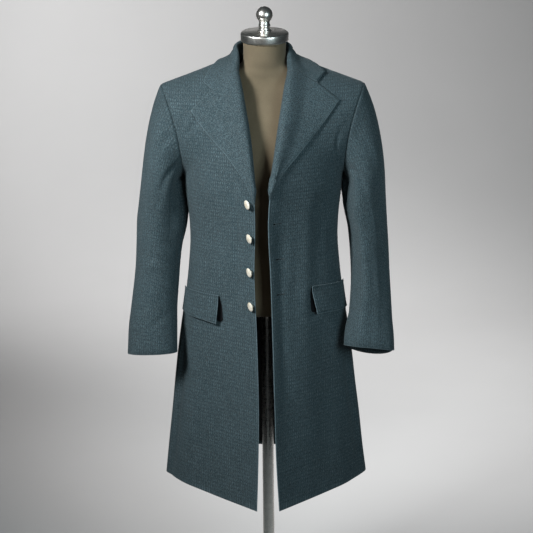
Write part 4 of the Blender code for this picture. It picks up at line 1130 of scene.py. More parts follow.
def lapel_rows(side, tree):
    """Sections of the lapel from its foot to the gorge, as a grid of shown points, and their thicknesses."""
    grid, thickness = [], []
    for edge, bend_place, outer_place, share, full in lapel_places(side):
        cloth = TAIL_CLOTH + (TURNED_CLOTH - TAIL_CLOTH) * smooth_step(full)
        lift = cloth + PLY_GAP * (0.4 + 0.6 * full)
        radius = float(along(ROLL_BULGE, "share", "radius", share))
        radius = TAIL_RADIUS + (radius - TAIL_RADIUS) * full
        reach = TAIL_RADIUS + (ROLL_RADIUS - TAIL_RADIUS) * full  # how far the roll stands past the edge
        bend = on_chest(tree, side, *bend_place, lift)
        outer = on_chest(tree, side, *outer_place, lift)
        to_side = unit(bend - edge)
        found, normal, _, _ = tree.find_nearest(Vector(edge + to_side * 0.004))
        out = np.array(outward_normal(found, normal))
        to_side = unit(to_side - out * (to_side @ out))
        fold = edge - to_side * reach - out * (CLOTH / 2)
        tuck = min(TURN_IN, 0.002 + 0.002 * full + 0.02 * share) + radius - reach
        seam = edge + to_side * tuck - out * (CLOTH / 2 + radius)
        inside = fold_over(seam, fold, -to_side, out, radius)
        start = inside[-1]
        half = FALL_STEPS // 2
        path = [start + (bend - start) * (k / half) for k in range(1, half + 1)]
        path += [bend + (outer - bend) * (k / half) for k in range(1, half + 1)]
        whole = np.linalg.norm(bend - start) + np.linalg.norm(outer - bend)
        rise = max(radius - CLOTH / 2 - lift, 0.0)
        laid = []
        for point in path:
            gone = np.linalg.norm(point - start) / min(BULGE_REACH, 0.8 * whole)
            height = lift + rise * smooth_step(1 - gone)
            laid.append(on_chest(tree, side, abs(point[0] - COAT_CENTRE), point[2], height))
        grid.append(inside + laid)
        thickness.append(cloth)
    return np.array(grid), np.array(thickness)


def collar_rows(side, tree, gorge):
    """Sections of half the collar, from centre back to the gorge, as a grid of shown points."""
    table = COLLARS[side]
    lift = TURNED_CLOTH + PLY_GAP
    keys = [row.share for row in table]
    Place = namedtuple("Place", "share x y z")
    places = {
        name: [Place(k, *getattr(row, name)) for k, row in zip(keys, table)] for name in Collar._fields[1:]
    }
    half = FALL_STEPS // 2
    grid = []
    for share in np.linspace(0, 1, COLLAR_STEPS + 1):
        seam, fold, bend, outer = (
            np.array(
                (
                    COAT_CENTRE + side * along(places[name], "share", "x", share),
                    along(places[name], "share", "y", share),
                    along(places[name], "share", "z", share),
                )
            )
            for name in Collar._fields[1:]
        )
        away = unit(-(unit(seam - fold) + unit(bend - fold)))
        out = bend - fold
        out = unit(out - away * (out @ away))
        inside = fold_over(seam, fold, away, out)
        start = inside[-1]
        leg = [start + (bend - start) * (k / half) for k in range(1, half + 1)]
        leg += [bend + (outer - bend) * (k / half) for k in range(1, half + 1)]
        slack = [COLLAR_SLACK * (1 - k / FALL_STEPS) for k in range(1, FALL_STEPS + 1)]
        grid.append(inside + [settled(tree, point, lift, loose) for point, loose in zip(leg, slack)])
    grid = np.array(grid)
    to_notch = len(gorge) - half
    step = np.zeros_like(gorge)
    step[:to_notch] = gorge[:to_notch] - grid[-1, :to_notch]
    fade = smooth_step(1 - np.arange(half) / half)
    step[to_notch:] = step[to_notch - 1] * fade[:, None]
    share = np.linspace(0, 1, COLLAR_STEPS + 1)
    return grid + smooth_step((share - 0.72) / 0.28)[:, None, None] * step


def build_collar_and_lapels(tree, wool):
    """The collar and the two lapels, which lie on the chest and shoulders and meet along the gorge."""
    lapels, halves, cloth = {}, {}, {}
    lead = len(ARC) + 4
    for side in (RIGHT, LEFT):
        grid, cloth[side] = lapel_rows(side, tree)
        ease = np.zeros(grid.shape[:2])
        ease[TAIL_STEPS + 2 :, lead:] = 0.5
        lapels[side] = relaxed(grid, ease, 20)
        halves[side] = collar_rows(side, tree, lapels[side][-1])
    collar = np.vstack([halves[RIGHT][::-1], halves[LEFT][1:]])
    ease = np.zeros(collar.shape[:2])
    ease[:, 4:] = 0.5
    ease[:14] *= np.linspace(0, 1, 14)[:, None]
    ease[-14:] *= np.linspace(1, 0, 14)[:, None]
    collar = relaxed(collar, ease, 24)
    collar_out = grid_normals(collar)
    to_notch = collar.shape[1] - FALL_STEPS // 2
    made = {}
    outs = {side: -side * grid_normals(lapels[side]) for side in (RIGHT, LEFT)}
    for side, gorge in ((RIGHT, 0), (LEFT, -1)):
        sewn = unit(outs[side][-1, :to_notch] + collar_out[gorge, :to_notch])
        outs[side][-1, :to_notch] = collar_out[gorge, :to_notch] = sewn
    for side in (RIGHT, LEFT):
        made["lapel", side] = turned_piece(
            f"lapel_{SIDE_NAMES[side]}", lapels[side], outs[side], wool, side, to_notch, cloth[side]
        )
    whole = np.full(len(collar), TURNED_CLOTH)
    made["collar"] = turned_piece("collar", collar, collar_out, wool, 0, to_notch, whole)
    return made


def turned_piece(node, grid, outward, wool, side, to_notch, cloth):
    """A lapel, or the collar where side is 0: its stitched edges, its seam at the gorge and its shell."""
    along_fall = run_lengths(grid, 1)
    to_edge = along_fall[:, -1:] - along_fall
    run = run_lengths(grid, 0)
    ends = run[-1:] - run
    sewn = np.arange(grid.shape[1]) < to_notch
    if side:
        to_gorge = ends
        edge_wear_and_sheen = np.minimum(to_edge, np.where(sewn, 1.0, ends))
    else:
        to_gorge = np.minimum(run, ends)
        edge_wear_and_sheen = np.minimum(to_edge, np.where(sewn, 1.0, np.minimum(run, ends)))
    dip = pressed_edge(edge_wear_and_sheen) + groove(to_gorge, 0, SEAM_DIP_WIDTH, SEAM_DIP) * sewn
    dip *= smooth_step(cloth / TURNED_CLOTH)[:, None]
    shaped = grid + outward * dip[..., None]
    flat, edge_wear_and_sheen = np.stack([to_edge, run], axis=-1), np.minimum(edge_wear_and_sheen, NO_EDGE_WEAR_OR_SHEEN)
    piece = shell(f"coat_{node}", shaped, -outward, cloth[:, None], flat, [wool], None, edge_wear_and_sheen, last_column=1.0)
    stands_in(node)
    return piece, shaped, outward, to_notch


# ---------------------------------------------------------------- flaps
def body_normals(side, turn, height):
    step = 0.004
    across = body_points(side, np.minimum(turn + step, 1), height) - body_points(side, turn - step, height)
    up = body_points(side, turn, height + step) - body_points(side, turn, height - step)
    return side * unit(np.cross(up, across))


def build_flaps(tree, wool):
    """The two pocket flaps, sewn in at the top, whose front corners lift off the skirt."""
    made = {}
    for side in (RIGHT, LEFT):
        flap = FLAPS[side]
        near = np.array(FLAP_NEAR_EDGE)
        down = np.concatenate([np.linspace(0, flap.front_drop - 0.016, 22), (flap.front_drop - near)[::-1]])
        down = (down / flap.front_drop)[:, None]
        width = FLAP_SPACING
        share = np.concatenate([near, np.linspace(0.016, width - 0.016, 44), (width - near)[::-1]]) / width
        turn = flap.rear + (flap.front + flap.front_low_shift * down - flap.rear) * share[None]
        drop = flap.rear_drop + (flap.front_drop - flap.rear_drop) * share[None]
        height = flap.rear_top + (flap.front_top - flap.rear_top) * share[None] - drop * down
        lift = CLOTH + PLY_GAP + 0.0030 * down * smooth_step(share * 2)[None]
        corner = smooth_step((down - 0.15) / 0.85) * np.exp(-(((1 - share[None]) / 0.20) ** 2))
        lift = lift + 0.0036 * corner
        grid = body_points(side, turn, height) + body_normals(side, turn, height) * lift[..., None]
        kept = np.array([settled(tree, point, CLOTH + PLY_GAP, 0.012) for point in grid.reshape(-1, 3)])
        grid = kept.reshape(grid.shape)
        grid = relaxed(grid, np.full(grid.shape[:2], 0.3), 6)
        outward = -side * grid_normals(grid)
        across, fall = run_lengths(grid, 1), run_lengths(grid, 0)
        to_edge = np.minimum(np.minimum(across, across[:, -1:] - across), fall[-1:] - fall)
        wave = drape(grid, 0.0007, 9 + side) * smooth_step(down)
        dip = pressed_edge(to_edge) + groove(fall, 0, 0.0022, 0.0012) + np.abs(wave)
        shaped = grid + outward * dip[..., None]
        flat, edge_wear_and_sheen = np.stack([across[:, -1:] - across, -fall], axis=-1), np.minimum(to_edge, NO_EDGE_WEAR_OR_SHEEN)
        name, folded = f"coat_flap_{SIDE_NAMES[side]}", dict.fromkeys(FLAP_FOLDS, 1.0)
        piece = shell(name, shaped, -outward, CLOTH, flat, [wool], None, edge_wear_and_sheen, **folded)
        stands_in(f"flap_{SIDE_NAMES[side]}")
        made[side] = (piece, shaped, outward, to_edge)
    return made


def build_flap_shadow_wedges(tree, satin):
    """A painted shadow: black satin laid on the skirt in a narrow wedge in front of each flap, where its
    corner lifts.
    """
    made = {}
    for side in (RIGHT, LEFT):
        flap = FLAPS[side]
        down = np.linspace(0.05, 0.97, 30)[:, None]
        share = np.linspace(-0.4, 1, 11)[None]
        edge = flap.front + flap.front_low_shift * down
        height = flap.front_top - flap.front_drop * down
        step = body_points(side, edge + 0.01, height) - body_points(side, edge, height)
        per_turn = np.linalg.norm(step, axis=-1) / 0.01
        width = 0.0012 + FLAP_WEDGE * down * np.sqrt(np.clip((0.99 - down) / 0.12, 0, 1))
        turn = edge + width * share / per_turn
        places = body_points(side, turn, height + 0 * share)
        grid = [settled(tree, point, 0.0006, 0.0001) for point in places.reshape(-1, 3)]
        grid = np.array(grid).reshape(places.shape)
        outward = -side * grid_normals(grid)
        flat = np.stack([width * share, -flap.front_drop * down + 0 * share], axis=-1)
        # This black sheet is a painted shadow of the gap under the flap's lifted corner.
        name = f"flap_{SIDE_NAMES[side]}_lining"
        made[side] = shell(name, grid, -outward, 0.0003, flat, [satin])
    return made


# ---------------------------------------------------------------- sewing and buttons
STITCH_PITCH = 0.0068
STITCH_LENGTH = 0.0021
STITCH_RADIUS = 0.00028
STITCH_LIFT = 0.00020
STITCH_DIP = 0.00075
Buttonhole = namedtuple("Buttonhole", "height inset")  # inset: of its eye, from the front edge
BUTTONHOLES = [
    Buttonhole(1.1233, 0.0108),
    Buttonhole(1.0372, 0.0139),
    Buttonhole(0.9552, 0.0126),
]
HOLE_LENGTH = 0.0190
HOLE_HALF_WIDTH = 0.0011
EYE_EXTRA = 0.0019


def tube(centres, outs, radii, closed=False):
    """The points and faces of a round thread through centres, outs being the way off the cloth."""
    sides, count = 6, len(centres)
    ways = np.roll(centres, -1, axis=0) - np.roll(centres, 1, axis=0)
    if not closed:
        ways[0], ways[-1] = centres[1] - centres[0], centres[-1] - centres[-2]
    across = unit(np.cross(ways, outs))
    turn = np.linspace(0, 2 * math.pi, sides, endpoint=False)[None, :, None]
    rings = across[:, None] * np.cos(turn) + outs[:, None] * np.sin(turn)
    points = (centres[:, None] + rings * np.asarray(radii)[:, None, None]).reshape(-1, 3)
    r, c = np.meshgrid(np.arange(count if closed else count - 1), np.arange(sides), indexing="ij")
    here, there, following = r * sides, (r + 1) % count * sides, (c + 1) % sides
    faces = np.stack([here + c, here + following, there + following, there + c], axis=-1)
    faces = faces.reshape(-1, 4).tolist()
    if not closed:
        faces += [list(range(sides))[::-1], list(range((count - 1) * sides, count * sides))]
    return points, faces


def joined(name, tubes, finishes):
    """One mesh of many threads, each given as its points, its faces and which finish it has."""
    points, faces, face_finish = [], [], []
    for tube_points, tube_faces, finish in tubes:
        faces += [[corner + len(points) for corner in face] for face in tube_faces]
        points += tube_points.tolist()
        face_finish += [finish] * len(tube_faces)
    piece = mesh_piece(name, points, faces, finishes, face_finish)
    return piece


def edge_line(shaped, outward, start=0, stop=None):
    """The line of stitches beside a grid's last column, as points and outward directions."""
    lengths = run_lengths(shaped, 1)
    to_edge = lengths[:, -1:] - lengths
    columns = np.arange(shaped.shape[1])
    at = np.array([np.interp(-STITCH_LINE, -row, columns) for row in to_edge])
    low = np.minimum(at.astype(int), len(columns) - 2)
    share = (at - low)[:, None]
    rows = np.arange(len(shaped))
    line, out = ((1 - share) * part[rows, low] + share * part[rows, low + 1] for part in (shaped, outward))
    return line[start:stop], unit(out)[start:stop]


def turned_round(shaped, outward, side):
    """The same grid with another of its sides last: first_column, first_row or last_row."""
    if side == "first_column":
        return shaped[:, ::-1], outward[:, ::-1]
    grids = shaped.swapaxes(0, 1), outward.swapaxes(0, 1)
    if side == "first_row":
        grids = grids[0][:, ::-1], grids[1][:, ::-1]
    return grids


def stitches(name, lines, thread):
    """Small pick stitches, one joined mesh, each a short thread that dips in at both its ends."""
    rng = np.random.default_rng(sum(map(ord, name)))
    rings = np.linspace(-0.5, 0.5, 5)
    tubes = []
    for line, outward in lines:
        at = np.insert(np.cumsum(np.linalg.norm(np.diff(line, axis=0), axis=1)), 0, 0.0)
        places = np.arange(0.006, at[-1] - 0.005, STITCH_PITCH)
        places = places + rng.uniform(-0.0005, 0.0005, len(places))
        lengths = STITCH_LENGTH * rng.uniform(0.85, 1.15, len(places))
        for place, length in zip(places, lengths):
            spots = place + rings * length
            centres = np.stack([np.interp(spots, at, line[:, k]) for k in range(3)], axis=1)
            outs = unit(np.stack([np.interp(spots, at, outward[:, k]) for k in range(3)], axis=1))
            centres = centres + outs * (STITCH_LIFT - STITCH_DIP * (rings * 2) ** 2)[:, None]
            tubes.append((*tube(centres, outs, np.full(len(rings), STITCH_RADIUS)), 0))
    return joined(name, tubes, [thread])


def buttonholes(tree, twist, dark):
    """Keyhole buttonholes down the left front, whipped round, each with a near-black thread in its eye and
    cut: painted shade of the opening.
    """
    tubes = []
    rng = np.random.default_rng(31)
    for hole in BUTTONHOLES:
        edge = along(FRONT_EDGE, "height", SIDE_NAMES[LEFT], hole.height) + hole.inset
        turn = np.linspace(0, 1, 150, endpoint=False)
        swing = 2 * math.pi * turn
        reach = HOLE_LENGTH * (0.5 - 0.5 * np.cos(swing))
        narrow = HOLE_HALF_WIDTH + EYE_EXTRA * np.exp(-((reach / 0.0036) ** 2))
        rise = narrow * np.sign(np.sin(swing)) * np.abs(np.sin(swing)) ** 0.35
        path = [(edge + u, hole.height + v - 0.04 * u) for u, v in zip(reach, rise)]
        whips = 0.00042 * (1 + 0.22 * np.sin(2 * math.pi * 52 * turn) + rng.uniform(-0.06, 0.06, len(turn)))
        tubes.append((*laid_thread(tree, path, whips, 0.00010, True), 0))
        # A near-black thread sunk along the cut and into the eye: painted shade of the opening.
        reach = np.linspace(-0.0006, HOLE_LENGTH - 0.0008, 30)
        path = [(edge + u, hole.height - 0.04 * u) for u in reach]
        gap = HOLE_HALF_WIDTH * 0.62 + EYE_EXTRA * np.exp(-(((reach - 0.0010) / 0.0022) ** 2))
        gap *= np.sqrt(np.clip((reach + 0.0010) / 0.0016, 0.05, 1))
        tubes.append((*laid_thread(tree, path, gap, -0.50 * gap, False), 1))
    return joined("coat_buttonholes", tubes, [twist, dark])


def laid_thread(tree, path, radii, lift, closed):
    """A thread laid on the left front along x out and z places, its middle lift off the cloth."""
    found = np.array([on_chest(tree, LEFT, x, z, 0.0) for x, z in path])
    above = np.array([on_chest(tree, LEFT, x, z, 0.001) for x, z in path])
    outs = unit(above - found)
    return tube(found + outs * np.broadcast_to(lift, len(path))[:, None], outs, radii, closed)


def build_stitches(panels, turned_cloth, flaps, thread):
    """Pick stitches beside the finished edges. Returns each piece's own, by part and side."""
    made = {}
    for side in (RIGHT, LEFT):
        shaped, outward = panels["front", side][:2]
        height = shaped[:, -1, 2]
        rows = np.nonzero((height > HEM) & (height < LAPEL_FOOT[side]))[0]
        lines = [edge_line(shaped, outward, rows[0], rows[-1])]
        made["front", side] = stitches(f"front_{SIDE_NAMES[side]}_stitches", lines, thread)
        _, shaped, outward, open_from = turned_cloth["lapel", side]
        lines = [edge_line(shaped, outward, TAIL_STEPS + 4, -2)]
        lines.append(edge_line(*turned_round(shaped, outward, "last_row"), open_from + 1, -4))
        made["lapel", side] = stitches(f"lapel_{SIDE_NAMES[side]}_stitches", lines, thread)
        _, shaped, outward, _ = flaps[side]
        lines = [edge_line(shaped, outward, 2, -3)]
        for other in ("first_column", "last_row"):
            lines.append(edge_line(*turned_round(shaped, outward, other), 4, -3))
        made["flap", side] = stitches(f"flap_{SIDE_NAMES[side]}_stitches", lines, thread)
    _, shaped, outward, open_from = turned_cloth["collar"]
    lines = [edge_line(shaped, outward, 2, -2)]
    for end in ("first_row", "last_row"):
        lines.append(edge_line(*turned_round(shaped, outward, end), open_from + 1, -4))
    made["collar"] = stitches("collar_stitches", lines, thread)
    return made


def turned(name, profile, finish, place=(0, 0, 0), up=(0, 0, 1), sides=64):
    """A solid turned round an axis from pairs of radius and height, closed on the axis at both ends."""
    axis = Vector(up).to_track_quat("Z", "Y").to_matrix()
    angles = np.linspace(0, 2 * math.pi, sides, endpoint=False)
    rings = [
        points_of(radius * np.cos(angles), radius * np.sin(angles), height) for radius, height in profile
    ]
    points = np.vstack(rings + [[(0, 0, profile[0][1])], [(0, 0, profile[-1][1])]])
    points = points @ np.array(axis).T + np.array(place)
    return mesh_piece(name, points, closed_faces(len(profile), sides), [finish])


def eased(profile, bend=0.35):
    """The profile with each of its corners rounded a little."""
    out = [profile[0]]
    for before, here, after in zip(profile[:-2], profile[1:-1], profile[2:]):
        here = np.array(here)
        for other, share in ((before, 1.0), (before, 0.4), (after, 0.4), (after, 1.0)):
            reach = min(np.linalg.norm(np.array(other) - here) * bend, 0.0012) * share
            step = unit(np.array(other) - here) * reach
            drawn = here * 0.0
            if share < 1:
                toward = unit(np.array(before) - here) + unit(np.array(after) - here)
                drawn = toward * reach * 0.35
            out.append(tuple(here + step + drawn))
    return out + [profile[-1]]


def button_places():
    """Where each button's foot is, on the right front, with the way it faces."""
    level = math.cos(BUTTON_DROOP)
    facing = np.array(
        (-math.sin(BUTTON_TURN) * level, -math.cos(BUTTON_TURN) * level, -math.sin(BUTTON_DROOP))
    )
    places = []
    for height, inset in BUTTONS:
        turns = np.linspace(1.0, 0.9, 400)
        row = body_points(RIGHT, turns, height)
        reach = np.linalg.norm(row - row[0], axis=1)
        turn = float(np.interp(inset, reach, turns))
        normal = body_normals(RIGHT, np.array(turn), np.array(height))
        lean = math.sqrt(1 - float(normal @ facing) ** 2)
        place = body_points(RIGHT, turn, height) + normal * (BUTTON_GAP + SHANK_RADIUS * lean)
        places.append((place, facing))
    return places


def build_buttons(pearl):
    rim = SHANK_HEIGHT + 0.0016
    profile = [(SHANK_RADIUS * 0.9, 0.0), (SHANK_RADIUS, 0.0004), (SHANK_RADIUS, SHANK_HEIGHT - 0.0003)]
    profile += [(SHANK_RADIUS * 1.25, SHANK_HEIGHT), (0.0080, SHANK_HEIGHT + 0.0001)]
    profile += [(0.0098, SHANK_HEIGHT + 0.0004), (0.0106, SHANK_HEIGHT + 0.0009)]
    profile += [
        (BUTTON_RADIUS * math.cos(a), rim + (BUTTON_HEIGHT - rim) * math.sin(a))
        for a in np.radians((-4, 6, 14, 24, 35, 47, 60, 73, 84))
    ]
    for number, (place, facing) in enumerate(button_places(), start=1):
        button = turned(f"coat_button_{number}", profile, pearl, place, facing, 40)
        stands_in(f"button_{number}")


# ---------------------------------------------------------------- the dress form and its stand
TORSO_STEPS = 120
TORSO_AROUND = 96
FORM_SEAMS = (0, 52, 128, 180, 232, 308)  # degrees round the form, from its left side


def build_torso(canvas):
    """The form's body: a smooth shell in six panels of cloth, a little drawn in at each seam."""
    foot, top = TORSO[0].height, TORSO[-1].height
    heights = np.concatenate([[foot, foot + 0.0015], np.linspace(TORSO[1].height, top, TORSO_STEPS)])
    angles = np.radians(np.linspace(0, 360, TORSO_AROUND, endpoint=False))
    wide, deep, middle, square = (
        along(TORSO, "height", column, heights)[:, None]
        for column in ("half_width", "half_depth", "centre_y", "square")
    )
    power = 2 / square
    cos, sin = np.cos(angles)[None], np.sin(angles)[None]
    drawn = np.zeros_like(angles)
    for seam in FORM_SEAMS:
        off = (angles - math.radians(seam) + math.pi) % (2 * math.pi) - math.pi
        drawn += np.exp(-((off / 0.045) ** 2))
    size = 1 - 0.0045 * drawn[None]
    x = wide * np.sign(cos) * np.abs(cos) ** power * size
    y = deep * np.sign(sin) * np.abs(sin) ** power * size
    tilt = math.tan(NECK_TILT) * smooth_step((heights[:, None] - 1.46) / 0.05)
    grid = points_of(x, middle + y, heights[:, None] + tilt * y)
    points = np.vstack([grid.reshape(-1, 3), grid[0].mean(0)[None], grid[-1].mean(0)[None]])
    torso = mesh_piece("dress_form", points, closed_faces(*grid.shape[:2]), [canvas])
    stands_in("form_torso")
    return torso


def build_stand(steel):
    gap = 0.0003
    neck_top = TORSO[-1].height
    up = (0, -math.sin(NECK_TILT), math.cos(NECK_TILT))
    cap = turned("form_neck_cap", eased(CAP_PROFILE), steel, (0, 0, neck_top + gap), up, 96)
    stands_in("form_cap")
    ball = [
        (BALL_RADIUS * math.sin(a), BALL_HEIGHT - BALL_RADIUS * math.cos(a))
        for a in np.radians(np.concatenate([[34], np.arange(42, 170, 8), [174]]))
    ]
    place = Vector((0, 0, neck_top + gap)) + Vector(up) * (CAP_PROFILE[-1][1] + gap)
    finial = turned("form_neck_finial", eased(FINIAL_PROFILE) + ball, steel, place, up, 64)
    stands_in("form_finial")
    foot = turned("stand_foot", eased(BASE_PROFILE), steel, sides=96)
    stands_in("stand_base")
    socket_foot = BASE_PROFILE[-1][1] + gap
    socket = turned("stand_foot_socket", eased(SOCKET_PROFILE), steel, (0, 0, socket_foot), sides=64)
    stands_in("stand_socket")
    pole_foot = socket_foot + SOCKET_PROFILE[-1][1] + gap
    torso_foot = TORSO[0].height - gap
    tube = [(POLE_RADIUS, pole_foot + (torso_foot - pole_foot) * k / 24) for k in range(25)]
    pole = turned("stand_tube", tube, steel, sides=64)
    stands_in("stand_pole")


# ---------------------------------------------------------------- finishes
def node_group(name, inputs, outputs):
    """A builder in a new shader node group that has these named sockets."""
    group = bpy.data.node_groups.new(name, "ShaderNodeTree")
    for label, kind, value in inputs:
        socket = group.interface.new_socket(label, in_out="INPUT", socket_type=kind)
        if value is not None:
            socket.default_value = value
    for label, kind in outputs:
        group.interface.new_socket(label, in_out="OUTPUT", socket_type=kind)
    made = Builder(group)
    made.inside = group.nodes.new("NodeGroupInput").outputs
    made.outside = group.nodes.new("NodeGroupOutput").inputs
    return made


class Builder:
    """Adds nodes to a tree. Its inputs may be numbers, colours or other nodes' sockets."""

    def __init__(self, tree):
        self.tree = tree

    def feed(self, socket, value):
        if isinstance(value, bpy.types.NodeSocket):
            self.tree.links.new(value, socket)
        else:
            socket.default_value = value

    def add(self, kind, inputs=(), out=0, **settings):
        node = self.tree.nodes.new(kind)
        for key, value in settings.items():
            setattr(node, key, value)
        for key, value in dict(inputs).items():
            self.feed(node.inputs[key], value)
        return node.outputs[out]

    def maths(self, operation, *values):
        return self.add("ShaderNodeMath", enumerate(values), operation=operation)

    def mix(self, share, low, high):
        """A blend of two colours."""
        return self.add(
            "ShaderNodeMix", {0: share, 6: low, 7: high}, out=2, data_type="RGBA", clamp_factor=True
        )

    def fade(self, value, low, high, out_low=0.0, out_high=1.0):
        inputs = {0: value, 1: low, 2: high, 3: out_low, 4: out_high}
        return self.add("ShaderNodeMapRange", inputs, interpolation_type="SMOOTHSTEP")

    def noise(self, where, scale, detail=2.0, rough=0.5, out=0):
        inputs = {"Vector": where, "Scale": scale, "Detail": detail, "Roughness": rough}
        return self.add("ShaderNodeTexNoise", inputs, out=out)

    def set(self, name, value):
        """Feeds one of the material's own inputs."""
        self.feed(self.surface.inputs[name], value)

    def tones(self, mottle, **values):
        """The place on the object, and the mottle's outputs there."""
        place = self.add("ShaderNodeTexCoord", out=3)
        return place, self.place(mottle, {"Place": place, **values}, None)

    def bump(self, strength, distance, height):
        inputs = {"Strength": strength, "Distance": distance, "Height": height}
        self.set("Normal", self.add("ShaderNodeBump", inputs))

    def place(self, group, inputs, out):
        """A node group's output, with the group put in with its own values."""
        node = self.tree.nodes.new("ShaderNodeGroup")
        node.node_tree = group
        for key, value in inputs.items():
            self.feed(node.inputs[key], value)
        return node.outputs if out is None else node.outputs[out]


def birdseye_group():
    """Small pale eyes in rows and columns on a fine twill, from the cloth's own coordinates in metres."""
    g = node_group(
        "birdseye",
        [
            ("Cloth", "NodeSocketVector", None),
            ("Across", "NodeSocketFloat", 0.0059),
            ("Down", "NodeSocketFloat", 0.0085),
            ("Unevenness", "NodeSocketFloat", 0.5),
        ],
        [("Eye", "NodeSocketFloat"), ("Twill", "NodeSocketFloat"), ("Height", "NodeSocketFloat")],
    )
    cloth, uneven = g.inside["Cloth"], g.inside["Unevenness"]
    drift = g.noise(cloth, 26.0, 1.0, out=1)
    shift = g.add("ShaderNodeVectorMath", {0: drift, 1: (0.5, 0.5, 0.5)}, operation="SUBTRACT")
    shift = g.add("ShaderNodeVectorMath", {0: shift, "Scale": 0.0030}, operation="SCALE")
    moved = g.add("ShaderNodeVectorMath", {0: cloth, 1: shift}, operation="ADD")
    split = g.add("ShaderNodeSeparateXYZ", {0: moved})
    u, v = split, split.node.outputs[1]
    cell_u = g.maths("DIVIDE", u, g.inside["Across"])
    cell_v = g.maths("DIVIDE", v, g.inside["Down"])
    cos_u = g.maths("COSINE", g.maths("MULTIPLY", cell_u, 2 * math.pi))
    cos_v = g.maths("COSINE", g.maths("MULTIPLY", cell_v, 2 * math.pi))
    round_eye = g.maths("ADD", cos_u, g.maths("MULTIPLY", cos_v, 0.42))
    eye = g.fade(round_eye, 0.40, 1.45)
    cells = g.add(
        "ShaderNodeCombineXYZ", {0: g.maths("ROUND", cell_u), 1: g.maths("ROUND", cell_v), 2: 0.0}
    )
    worth = g.add("ShaderNodeTexWhiteNoise", {"Vector": cells}, noise_dimensions="3D")
    kept = g.maths("SUBTRACT", 1.0, g.maths("MULTIPLY", uneven, worth))
    eye = g.maths("MULTIPLY", eye, kept)
    diagonal = g.maths("ADD", u, g.maths("MULTIPLY", v, 1.35))
    ribs = g.maths("SINE", g.maths("MULTIPLY", diagonal, 2 * math.pi / 0.0013))
    fibre = g.noise(cloth, 1500.0, 2.0)
    twill = g.fade(g.maths("ADD", ribs, g.maths("MULTIPLY", fibre, 1.6)), -0.6, 2.2)
    height = g.maths("ADD", g.maths("MULTIPLY", eye, 0.6), g.maths("MULTIPLY", twill, 0.5))
    g.feed(g.outside["Eye"], eye)
    g.feed(g.outside["Twill"], twill)
    g.feed(g.outside["Height"], height)
    return g.tree


def mottle_group():
    """Slow unevenness of tone and nap over a surface, with fine flecks, from the object's own place."""
    g = node_group(
        "mottle",
        [
            ("Place", "NodeSocketVector", None),
            ("Scale", "NodeSocketFloat", 9.0),
            ("Fleck", "NodeSocketFloat", 700.0),
        ],
        [("Tone", "NodeSocketFloat"), ("Patch", "NodeSocketFloat"), ("Flecks", "NodeSocketFloat")],
    )
    place, scale = g.inside["Place"], g.inside["Scale"]
    tone = g.noise(place, scale, 4.0, 0.55)
    patch = g.noise(place, g.maths("MULTIPLY", scale, 4.5), 3.0, 0.6)
    flecks = g.noise(place, g.inside["Fleck"], 2.0, 0.7)
    g.feed(g.outside["Tone"], g.fade(tone, 0.30, 0.70))
    g.feed(g.outside["Patch"], g.fade(patch, 0.34, 0.68))
    g.feed(g.outside["Flecks"], g.fade(flecks, 0.40, 0.66))
    return g.tree


def material(name, **settings):
    made = bpy.data.materials.new(name)
    made.use_nodes = True
    builder = Builder(made.node_tree)
    builder.surface = made.node_tree.nodes["Principled BSDF"]
    for key, value in settings.items():
        builder.surface.inputs[key.replace("_", " ")].default_value = value
    return made, builder


Weave = namedtuple("Weave", "across down eye fleck")  # the eyes' spacing, and how strong eyes and flecks are
DEEP_WOOL = (0.0120, 0.0239, 0.0290, 1)
PALE_WOOL = (0.126, 0.172, 0.194, 1)
BROWN_WOOL = (0.052, 0.050, 0.047, 1)


def wool_material(name, birdseye, mottle, weave):
    """Dark blue-grey wool with pale eyes, a soft nap and edges painted a little paler, partly as wear and
    partly as a painted highlight.
    """
    made, b = material(
        name, Roughness=0.90, Sheen_Weight=0.10, Sheen_Roughness=0.40, Sheen_Tint=(0.70, 0.82, 0.86, 1)
    )
    b.set("Specular IOR Level", 0.20)
    cloth = b.add("ShaderNodeUVMap", uv_map="cloth")
    place = b.add("ShaderNodeTexCoord", out=3)
    woven = b.place(
        birdseye, {"Cloth": cloth, "Across": weave.across, "Down": weave.down, "Unevenness": 0.85}, None
    )
    tones = b.place(mottle, {"Place": place, "Fleck": 430.0}, None)
    ground = b.mix(tones["Tone"], DEEP_WOOL, tuple(1.22 * c for c in DEEP_WOOL[:3]) + (1,))
    heather = b.noise(place, 300.0, 2.0, 0.6)
    ground = b.mix(b.fade(heather, 0.48, 0.66, 0.0, 0.34), ground, BROWN_WOOL)
    ground = b.mix(b.maths("MULTIPLY", woven["Twill"], 0.10), ground, PALE_WOOL)
    strength = b.fade(tones["Patch"], 0.0, 1.0, 0.55 * weave.eye, 1.15 * weave.eye)
    ground = b.mix(b.maths("MULTIPLY", woven["Eye"], strength), ground, PALE_WOOL)
    ground = b.mix(b.maths("MULTIPLY", tones["Flecks"], weave.fleck), ground, PALE_WOOL)
    # Paler near the finished edges: partly wear, partly a painted highlight where the pressed edges catch the
    # light.
    edge = b.add("ShaderNodeAttribute", attribute_name="edge", out=2)
    worn_and_lit_edge = b.maths("MULTIPLY", b.fade(edge, 0.0016, 0.0, 0.0, 1.0), 0.35)
    b.set("Base Color", b.mix(worn_and_lit_edge, ground, PALE_WOOL))
    fuzz = b.noise(place, 900.0, 3.0, 0.7)
    height = b.maths("ADD", woven["Height"], b.maths("MULTIPLY", fuzz, 0.9))
    b.bump(0.5, 0.0006, height)
    b.set("Roughness", b.fade(fuzz, 0.3, 0.7, 0.84, 0.96))
    return made


